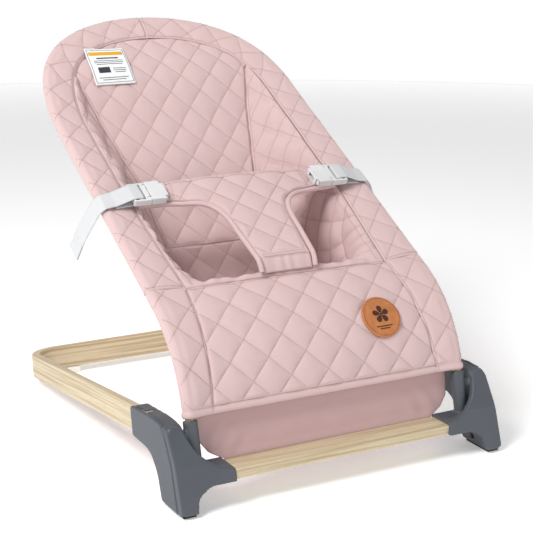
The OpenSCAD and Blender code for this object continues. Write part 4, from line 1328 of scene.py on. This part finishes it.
# ---------------------------------------------------------------- rods
def lower_rods():
    """The bare rods flex just above their sockets, so each is its own piece."""
    for side, _ in SIDES:
        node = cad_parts[side + "_lower_rod"]
        mesh = node.data.copy()
        mesh.transform(node.matrix_world)
        rod = bpy.data.objects.new(side + "_spring_rod", mesh)
        bpy.context.scene.collection.objects.link(rod)
        work = bmesh.new()
        work.from_mesh(mesh)
        for s in np.linspace(-22, 4, 10):
            y, z = spine(s)
            a = float(lean(s))
            bmesh.ops.bisect_plane(work, geom=work.verts[:] + work.edges[:] + work.faces[:], dist=1e-7,
                                   plane_co=(0, (y + BAR_FRONT) * MM, z * MM),
                                   plane_no=(0, math.cos(a), math.sin(a)))
        work.to_mesh(mesh)
        work.free()
        mesh.materials.clear()
        mesh.materials.append(finish_of("coated_tube"))
        settle_slot(rod, "coated_tube", side + "_lower_rod")
        ends = [on_sling(0, s, 0) * MM for s in (-16.0, -3.0)]
        tuple(ends[0])
        tuple(ends[1])
        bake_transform(rod)


def leaf_springs():
    """The leaf behind each snap button gives as the button is pressed."""
    for side, _ in SIDES:
        node = side + "_button_spring"
        leaf = node_copy(node, side + "_leaf_spring")
        leaf.data.materials.clear()
        leaf.data.materials.append(finish_of("spring_steel"))
        settle(leaf, "seat", "spring_steel", node)
        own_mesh(leaf)


# ---------------------------------------------------------------- wood
RAIL_W, RAIL_T, RAIL_H, RAIL_BEND = 400.0, 11.0, 30.4, 45.0
PIVOT_Y, PIVOT_Z, RAIL_FROM, RAIL_REAR, RAIL_REAR_Z = 124.0, 81.1, 84.0, 503.5, 36.5


def wood_rail():
    """The rail: a rounded section swept round the rear bends."""
    fall = math.atan((PIVOT_Z - RAIL_REAR_Z) / (RAIL_REAR - PIVOT_Y))
    back = PIVOT_Y + (RAIL_REAR - PIVOT_Y) / math.cos(fall)
    half, r = (RAIL_W - RAIL_T) / 2, RAIL_BEND - RAIL_T / 2
    rear = back - RAIL_T / 2
    leg = np.linspace(RAIL_FROM, rear - r, 60)
    turn = np.linspace(0, math.pi / 2, 26)[1:-1]
    right = np.concatenate([np.stack([0 * leg + half, leg], -1),
                            np.stack([half - r + r * np.cos(turn), rear - r + r * np.sin(turn)], -1)])
    rear_x = np.linspace(half - r, r - half, 50)
    line = np.concatenate([right, np.stack([rear_x, 0 * rear_x + rear], -1), (right * [-1, 1])[::-1]])
    edge = bpy.context.scene.bouncer_hard.wood_edge / MM
    outline = rounded_outline(RAIL_T, RAIL_H, edge)

    def raised(v, w):
        behind = v[..., 1] - PIVOT_Y
        y = PIVOT_Y + behind * math.cos(fall) + w * math.sin(fall) + BAR_FRONT
        z = PIVOT_Z - behind * math.sin(fall) + w * math.cos(fall)
        return np.stack([v[..., 0], y, z], -1)

    along = unit(np.gradient(line, axis=0))
    out = np.stack([along[:, 1], -along[:, 0]], -1)
    spots = line[:, None] + outline[None, :, :1] * out[:, None]
    rings = raised(spots, outline[None, :, 1] - RAIL_H / 2 + 0 * spots[..., 0])
    run = run_lengths(line)
    flat = np.stack(np.broadcast_arrays(run[:, None], outline[None, :, 0], outline[None, :, 1]), -1)
    settle(tube("bent_wood_rail", rings, "ash_wood", flat), "base", "ash_wood", "base_rail")


BAR_HALF, TENON_SIDE, TENON_T, TENON_DROP = 136.0, 3.0, 5.6, 3.2
GRAIN_SHIFT = 37.0  # so that the bar isn't cut from the rail's stretch of grain


def wood_bar():
    """The bar, with the tenons that enter its brackets."""
    edge = bpy.context.scene.bouncer_hard.wood_edge / MM * 0.8
    low, high = BAR_LOW, BAR_HIGH
    full = rounded_outline(high[1] - low[1], high[2] - low[2], edge)
    tenon = rounded_outline(high[1] - low[1] - 2 * TENON_SIDE, TENON_T, 0.4)
    lift = TENON_DROP + TENON_T / 2 - (high[2] - low[2]) / 2
    centre = (low + high) / 2
    soft = 0.8
    stops = [(-high[0], tenon, lift), (-BAR_HALF + 0.02, tenon, lift), (-BAR_HALF, full * 0.97, 0),
             (-BAR_HALF + soft, full, 0)]
    stops += [(x, full, 0) for x in np.linspace(-BAR_HALF + 8, BAR_HALF - 8, 40)]
    stops += [(-x, shape, up) for x, shape, up in stops[3::-1]]

    def ring(x, shape, up):
        y, z = shape[:, 0] + centre[1], shape[:, 1] + centre[2] + up
        return np.stack([0 * y + x, y, z], -1)

    rings = np.array([ring(*stop) for stop in stops])
    flat = rings + (0, GRAIN_SHIFT, 0)
    settle(tube("front_wood_bar", rings, "ash_wood", flat), "base", "ash_wood", "front_bar")


# ---------------------------------------------------------------- mouldings
def node_copy(node, name):
    """A welded copy of a node's mesh, as a piece of its own."""
    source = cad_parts[node]
    mesh = source.data.copy()
    mesh.transform(source.matrix_world)
    mesh.name = name
    obj = bpy.data.objects.new(name, mesh)
    bpy.context.scene.collection.objects.link(obj)
    work = bmesh.new()
    work.from_mesh(mesh)
    bmesh.ops.remove_doubles(work, verts=work.verts, dist=1e-6)
    work.to_mesh(mesh)
    work.free()
    return obj


def softened(node, name, finish, voxel, passes=6, body="base", slot=None):
    """A moulded copy of a node, with the small fillets that a mould leaves on every edge."""
    obj = node_copy(node, name)
    remesh = obj.modifiers.new("skin", "REMESH")
    remesh.mode, remesh.voxel_size, remesh.use_smooth_shade = "VOXEL", voxel, True
    relax = obj.modifiers.new("fillet", "SMOOTH")
    relax.factor, relax.iterations = 0.5, passes
    done = baked(obj, name)
    done.data.materials.clear()
    done.data.materials.append(finish_of(finish))
    return settle(done, body, slot or finish, node)


def mouldings():
    """The corner brackets and their side covers."""
    step = bpy.context.scene.bouncer_hard.bracket_step
    for side, _ in SIDES:
        softened(side + "_bracket", side + "_corner_bracket", "grey_moulding", step, 5)
        softened(side + "_side_cover", side + "_moulded_cover", "grey_moulding", step * 0.75, 5)


def buckles():
    """Both halves of each side-release buckle."""
    for side, _ in SIDES:
        softened(side + "_buckle_female", side + "_buckle_socket", "buckle_plastic", 0.0004, 6, "seat")
        softened(side + "_buckle_male", side + "_buckle_tongue", "buckle_plastic", 0.0004, 6,
                 side + "_buckle")


def dressed_nodes():
    """Plain parts that keep their frame shape, with their finishes and softened edges."""
    dress = {"rubber": ["left_foot_pad", "right_foot_pad"],
             "clear_rubber": ["rear_pads"],
             "coated_tube": ["seat_hoop"],
             "zinc_steel": ["rail_screws", "bar_screws", "cover_screws", "panel_studs", "left_snap_button",
                            "right_snap_button"],
             "buckle_plastic": ["left_arm_front", "left_arm_rear", "right_arm_front", "right_arm_rear"]}
    for finish, nodes in dress.items():
        for node in nodes:
            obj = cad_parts[node]
            for holder in obj.material_slots:
                holder.link = "OBJECT"
                holder.material = finish_of(finish)
            if finish in ("rubber", "buckle_plastic", "zinc_steel"):
                bevel = obj.modifiers.new("edges", "BEVEL")
                bevel.width, bevel.segments, bevel.limit_method = 0.0003, 2, "ANGLE"
                bevel.angle_limit = math.radians(35)


# ---------------------------------------------------------------- straps, badge and label
WEB_W, WEB_T = 25.0, 1.3
STRAP = [(163.5, 7.9), (143, 9.41), (131.2, 10.01), (130.2, 11.01), (130.2, 20.41), (131.2, 21.41),
         (143, 21.41), (163.5, 12.9), (176.5, 10.9), (183.5, 3.9)]
TAIL = [(20, -12, 2), (30, -30, 4), (38, -50, 6)]


def straps():
    """The straps: through the ladder, over the sleeve, and down to a sewn end."""
    across = np.array([0, math.cos(float(lean(BUCKLE_S))), math.sin(float(lean(BUCKLE_S)))])
    root = on_sling(ROD_X, BUCKLE_S, 0)
    points = [on_sling(x, BUCKLE_S, h) for x, h in STRAP]
    points += [root + np.array([x, y, z]) for x, z, y in TAIL]
    points = np.array(points)
    run = run_lengths(points)
    at = np.arange(0, run[-1], 0.8)
    line = np.stack([np.interp(at, run, points[:, k]) for k in range(3)], -1)
    for _ in range(2):
        line[1:-1] = (line[:-2] + 2 * line[1:-1] + line[2:]) / 4
    along = unit(np.gradient(line, axis=0))
    out = unit(np.cross(across, along))
    out *= np.sign(out[len(out) - 1, 0])
    r = np.linspace(-1, 1, 16)
    width = WEB_W / 2 * np.sign(r) * np.abs(r)
    sewn = ease((at - at[-1] + 17) / 1.5) * 0.9
    lift = -0.25 * np.abs(r)[None, :] ** 8 + sewn[:, None] + 0.25 * np.sin(at / 9)[:, None] * r[None, :]
    top = line[:, None] + width[None, :, None] * across + lift[..., None] * out[:, None]
    under = line[:, None] + width[None, :, None] * across - (WEB_T + 0 * lift)[..., None] * out[:, None]
    flat = np.stack(np.broadcast_arrays(width[None, :], at[:, None]), -1)
    for side, mirror in SIDES:
        t, u = (mirrored(top), mirrored(under)) if mirror else (top, under)
        obj = settle(shell(side + "_webbing_strap", t, u, "webbing", flat), side + "_buckle", "webbing",
                     side + "_strap")


BADGE_X, BADGE_S, BADGE_R, BADGE_LOW, BADGE_TOP = 83.5, 67.0, 24.5, 4.2, 6.4


def on_badge(x, y, h):
    """A place on the badge, which bends with the cloth under it."""
    return on_sling(BADGE_X + x, BADGE_S + y, h)


def badge():
    """The leather badge with its pressed ring, rim stitches and a plain flower mark."""
    radii = np.concatenate([np.linspace(0.2, 21.5, 30), np.linspace(21.8, BADGE_R, 12)])
    turn = np.linspace(0, 2 * math.pi, 120, endpoint=False)
    rr, aa = np.meshgrid(radii, turn, indexing="ij")

    def top_h(r):
        ring = 0.35 * np.exp(-(((r - 19.2) / 0.45) ** 2)) - 0.3 * np.exp(-(((r - 22.3) / 0.7) ** 2))
        round_off = 0.9 * np.clip((r - 23.2) / 1.3, 0, 1) ** 2.2
        return BADGE_TOP - 0.1 - ring * 0.8 - round_off + 0.12 * np.cos(r / 5)

    top = on_badge(rr * np.cos(aa), rr * np.sin(aa), top_h(rr))
    under = on_badge(rr * np.cos(aa), rr * np.sin(aa), BADGE_LOW + 0 * rr)
    rings = np.concatenate([top, under[::-1]])
    settle(tube("leather_badge", rings, "tan_leather"), "seat", "tan_leather", "badge")
    count = 46
    a = 2 * math.pi * np.arange(count) / count
    x, y = 22.3 * np.cos(a), 22.3 * np.sin(a)
    points = on_badge(x, y, top_h(22.3) + 0.1)
    ahead = on_badge(22.3 * np.cos(a + 0.01), 22.3 * np.sin(a + 0.01), top_h(22.3)) - points
    rim = spread("badge_rim_stitches", stitch_group(), points, unit(ahead), sling_up(BADGE_S + y),
                 {"Stitch Length": 0.0019, "Stitch Width": 0.0007}, "badge_mark")
    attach(rim, "seat")
    shapes = []
    for k in range(5):
        t = np.linspace(0, 2 * math.pi, 28, endpoint=False)
        px, py = 6.0 + 4.4 * np.cos(t), 3.0 * np.sin(t) * (1 + 0.35 * np.cos(t))
        turn = 2 * math.pi * k / 5 + math.pi / 2
        shapes.append(np.stack([px * math.cos(turn) - py * math.sin(turn),
                                px * math.sin(turn) + py * math.cos(turn) + 2.5], -1))
    shapes.append(circle(1.5, 20) + [0, 2.5])
    for low, high, y in ((-10.5, 10.5, -11.5), (-6.5, 6.5, -14.2)):
        bar = rounded_outline(high - low, 1.1, 0.5)
        shapes.append(bar + [0, y])
    petals, faces = [], []
    for shape in shapes:
        n, base = len(shape), len(petals)
        r = np.hypot(shape[:, 0], shape[:, 1])
        petals += on_badge(shape[:, 0], shape[:, 1], BADGE_TOP + 0.18).tolist()
        petals += on_badge(shape[:, 0], shape[:, 1], BADGE_TOP - 0.6).tolist()
        faces += [list(range(base, base + n)), list(range(base + 2 * n - 1, base + n - 1, -1))]
        faces += [[base + i, base + (i + 1) % n, base + n + (i + 1) % n, base + n + i] for i in range(n)]
    mark = piece("badge_stamped_flower", petals, faces, "badge_mark", smooth=False)
    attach(mark, "seat")


LABEL_X, LABEL_S, LABEL_W, LABEL_L = -71.0, 557.0, 55.0, 60.0


def care_label():
    """The label, with a heading band and bars for its lines of print."""
    def place(X, S):
        return on_sling(X, S, back_h(X, S) + 3.6)

    def relief(X, S):
        return 0.3 * np.sin(X / 12 + S / 17) + 0.15

    cloth = Cloth(place, lambda S: LABEL_X - LABEL_W / 2 + 0 * S, lambda S: LABEL_X + LABEL_W / 2 + 0 * S,
                  LABEL_S - LABEL_L / 2, LABEL_S + LABEL_L / 2, relief, 0.6)
    obj = settle(cloth.build("white_care_label", "label_cloth"), "seat", "label_cloth", "care_label")
    middle, low = LABEL_X, LABEL_S - LABEL_L / 2
    bands = [("label_heading_band", "label_band", [(0, 50.5, 47, 6)]),
             ("label_plain_bars", "label_ink", [(0, 42, 30, 2.2), (0, 37.5, 40, 0.9), (0, 34.5, 40, 0.9),
                                                (0, 31.5, 36, 0.9), (-10, 22, 16, 9), (11, 24, 18, 0.9),
                                                (11, 21, 18, 0.9), (11, 18, 14, 0.9), (0, 10, 40, 0.9),
                                                (0, 7, 32, 0.9), (0, 57, 51, 0.6), (0, 3, 51, 0.6),
                                                (-25.3, 30, 0.6, 54), (25.3, 30, 0.6, 54)])]
    for name, finish, boxes in bands:
        points, faces = [], []
        for x, y, w, t in boxes:
            X, S = np.meshgrid(np.linspace(middle + x - w / 2, middle + x + w / 2, max(2, int(w / 2))),
                               np.linspace(low + y - t / 2, low + y + t / 2, max(2, int(t / 2))))
            for lift, flip in ((0.12, False), (-0.05, True)):
                face, _ = cloth.face(X, S, lift)
                quads = grid_quads(*X.shape, start=len(points))
                faces += [q[::-1] for q in quads] if flip else quads
                points += face.reshape(-1, 3).tolist()
            k = X.size
            base = len(points) - 2 * k
            loop = edge_loop(*X.shape) + base
            after = np.roll(loop, -1)
            faces += np.stack([loop, after, after + k, loop + k], -1).tolist()
        flat = np.array(points)[:, :2]
        printed = piece(name, points, faces, finish, flat)
        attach(printed, "seat")
    declare(obj, cloth)


# ---------------------------------------------------------------- stage
CAMERA_AT = (-0.75358, -1.49069, 0.61273)
CAMERA_TURN = (math.radians(90 - 14.517), 0, math.radians(-28.233))
# name, place, size in metres and power in watts
LAMPS = [("soft_key", (-1.5, -0.5, 1.9), 0.9, 47), ("soft_top", (0.6, 0.5, 2.1), 1.2, 9),
         ("soft_fill", (1.2, -1.8, 0.9), 1.2, 6)]
AIM = Vector((0, 0, 0.2))


def area_light(name, at, size, power):
    """A soft lamp that looks at the seat."""
    data = bpy.data.lights.new(name, "AREA")
    data.shape, data.size, data.energy = "SQUARE", size, power
    lamp = bpy.data.objects.new(name, data)
    lamp.location = at
    lamp.rotation_euler = (AIM - Vector(at)).to_track_quat("-Z", "Y").to_euler()
    bpy.context.scene.collection.objects.link(lamp)
    lamp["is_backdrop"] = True


def make_stage():
    """The camera, a pale floor, a white wall all round, and the lamps."""
    scene = bpy.context.scene
    data = bpy.data.cameras.new("camera")
    data.lens, data.sensor_width = 94.2, 36
    camera = bpy.data.objects.new("camera", data)
    camera.location, camera.rotation_euler = CAMERA_AT, CAMERA_TURN
    scene.collection.objects.link(camera)
    scene.camera = camera
    mesh = bpy.data.meshes.new("floor")
    reach = 40.0
    mesh.from_pydata([(-reach, -reach, -0.001), (reach, -reach, -0.001), (reach, reach, -0.001),
                      (-reach, reach, -0.001)], [], [[0, 1, 2, 3]])
    floor = bpy.data.objects.new("floor", mesh)
    scene.collection.objects.link(floor)
    tone = Finish("pale_floor", Roughness=0.9, Base_Color=(0.94, 0.94, 0.94, 1), Specular_IOR_Level=0.1)
    tone.shader.inputs["Emission Color"].default_value = (1, 1, 1, 1)
    tone.shader.inputs["Emission Strength"].default_value = 0.28
    mesh.materials.append(tone.material)
    count, radius, high = 64, 3.4, 1.2
    turn = np.linspace(0, 2 * math.pi, count, endpoint=False)
    ring = np.stack([radius * np.cos(turn), radius * np.sin(turn)], -1)
    wall = [(x, y, z) for z in (0, high) for x, y in ring]
    wall_mesh = bpy.data.meshes.new("backdrop")
    wall_mesh.from_pydata(wall, [], grid_quads(2, count, wrap=True))
    backdrop = bpy.data.objects.new("backdrop", wall_mesh)
    scene.collection.objects.link(backdrop)
    glow = Finish("white_backdrop", Base_Color=(0, 0, 0, 1), Roughness=1.0, Specular_IOR_Level=0.0)
    glow.shader.inputs["Emission Color"].default_value = (1, 1, 1, 1)
    glow.shader.inputs["Emission Strength"].default_value = 1.0
    wall_mesh.materials.append(glow.material)
    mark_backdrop(floor, backdrop)
    world = bpy.data.worlds.new("studio")
    world.use_nodes = True
    world.node_tree.nodes["Background"].inputs["Color"].default_value = (1, 1, 1, 1)
    world.node_tree.nodes["Background"].inputs["Strength"].default_value = 0.17
    scene.world = world
    for lamp in LAMPS:
        area_light(*lamp)
    scene.view_settings.view_transform = "Standard"


# ---------------------------------------------------------------- add-on
STEPS = [
    ("stage", "Studio stage", "Sets the floor, the lights and the camera", [make_stage]),
    ("wood", "Wood", "Builds the bent rail and the front bar", [wood_rail, wood_bar]),
    ("mouldings", "Mouldings", "Builds the moulded brackets and their covers", [mouldings]),
    ("rods", "Rods", "Builds the spring rods and the leaf springs of their buttons",
     [lower_rods, leaf_springs]),
    ("sling", "Sling", "Builds the quilted sling and its rod sleeves",
     [sling_front, sling_sides, sling_back, sling_well]),
    ("lower_panel", "Lower panel", "Builds the plain panel behind the bar", [lower_panel]),
    ("bib", "Bib", "Builds the bib and its piping", [bib_and_piping]),
    ("harness", "Harness", "Builds the buckles and the webbing straps", [buckles, straps]),
    ("trim", "Badge and label", "Builds the leather badge and the care label", [badge, care_label]),
    ("fittings", "Fittings", "Dresses the small parts that keep their frame shape", [dressed_nodes]),
]


def make_operator(key, label, words, actions):
    """An operator class that runs the actions."""
    def execute(self, context):
        for action in actions:
            action()
        return {"FINISHED"}

    return type("BOUNCER_OT_" + key, (bpy.types.Operator,),
                {"__doc__": words, "bl_idname": "bouncer." + key, "bl_label": label,
                 "bl_description": words, "execute": execute})


OPERATORS = [make_operator(*step) for step in STEPS]


class BOUNCER_PT_build(bpy.types.Panel):
    """Buttons and settings for the bouncer."""

    bl_label = "Baby bouncer"
    bl_space_type = "VIEW_3D"
    bl_region_type = "UI"
    bl_category = "Bouncer"

    def draw(self, context):
        for operator in OPERATORS:
            self.layout.operator(operator.bl_idname)
        for group in (context.scene.bouncer_cloth, context.scene.bouncer_hard):
            for name in group.__annotations__:
                self.layout.prop(group, name)


CLASSES = [BouncerClothSettings, BouncerHardSettings, *OPERATORS, BOUNCER_PT_build]


def register():
    for cls in CLASSES:
        bpy.utils.register_class(cls)
    bpy.types.Scene.bouncer_cloth = PointerProperty(type=BouncerClothSettings)
    bpy.types.Scene.bouncer_hard = PointerProperty(type=BouncerHardSettings)


def unregister():
    del bpy.types.Scene.bouncer_hard
    del bpy.types.Scene.bouncer_cloth
    for cls in reversed(CLASSES):
        bpy.utils.unregister_class(cls)


def main():
    """Builds everything and writes the sizes."""
    register()
    for key, *_ in STEPS:
        getattr(bpy.ops.bouncer, key)()
    sizes = {"cad": CAD_BOX, "visual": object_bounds()}
    {name: [list(map(float, corner)) for corner in box] for name, box in sizes.items()}


if __name__ == "__main__":
    main()
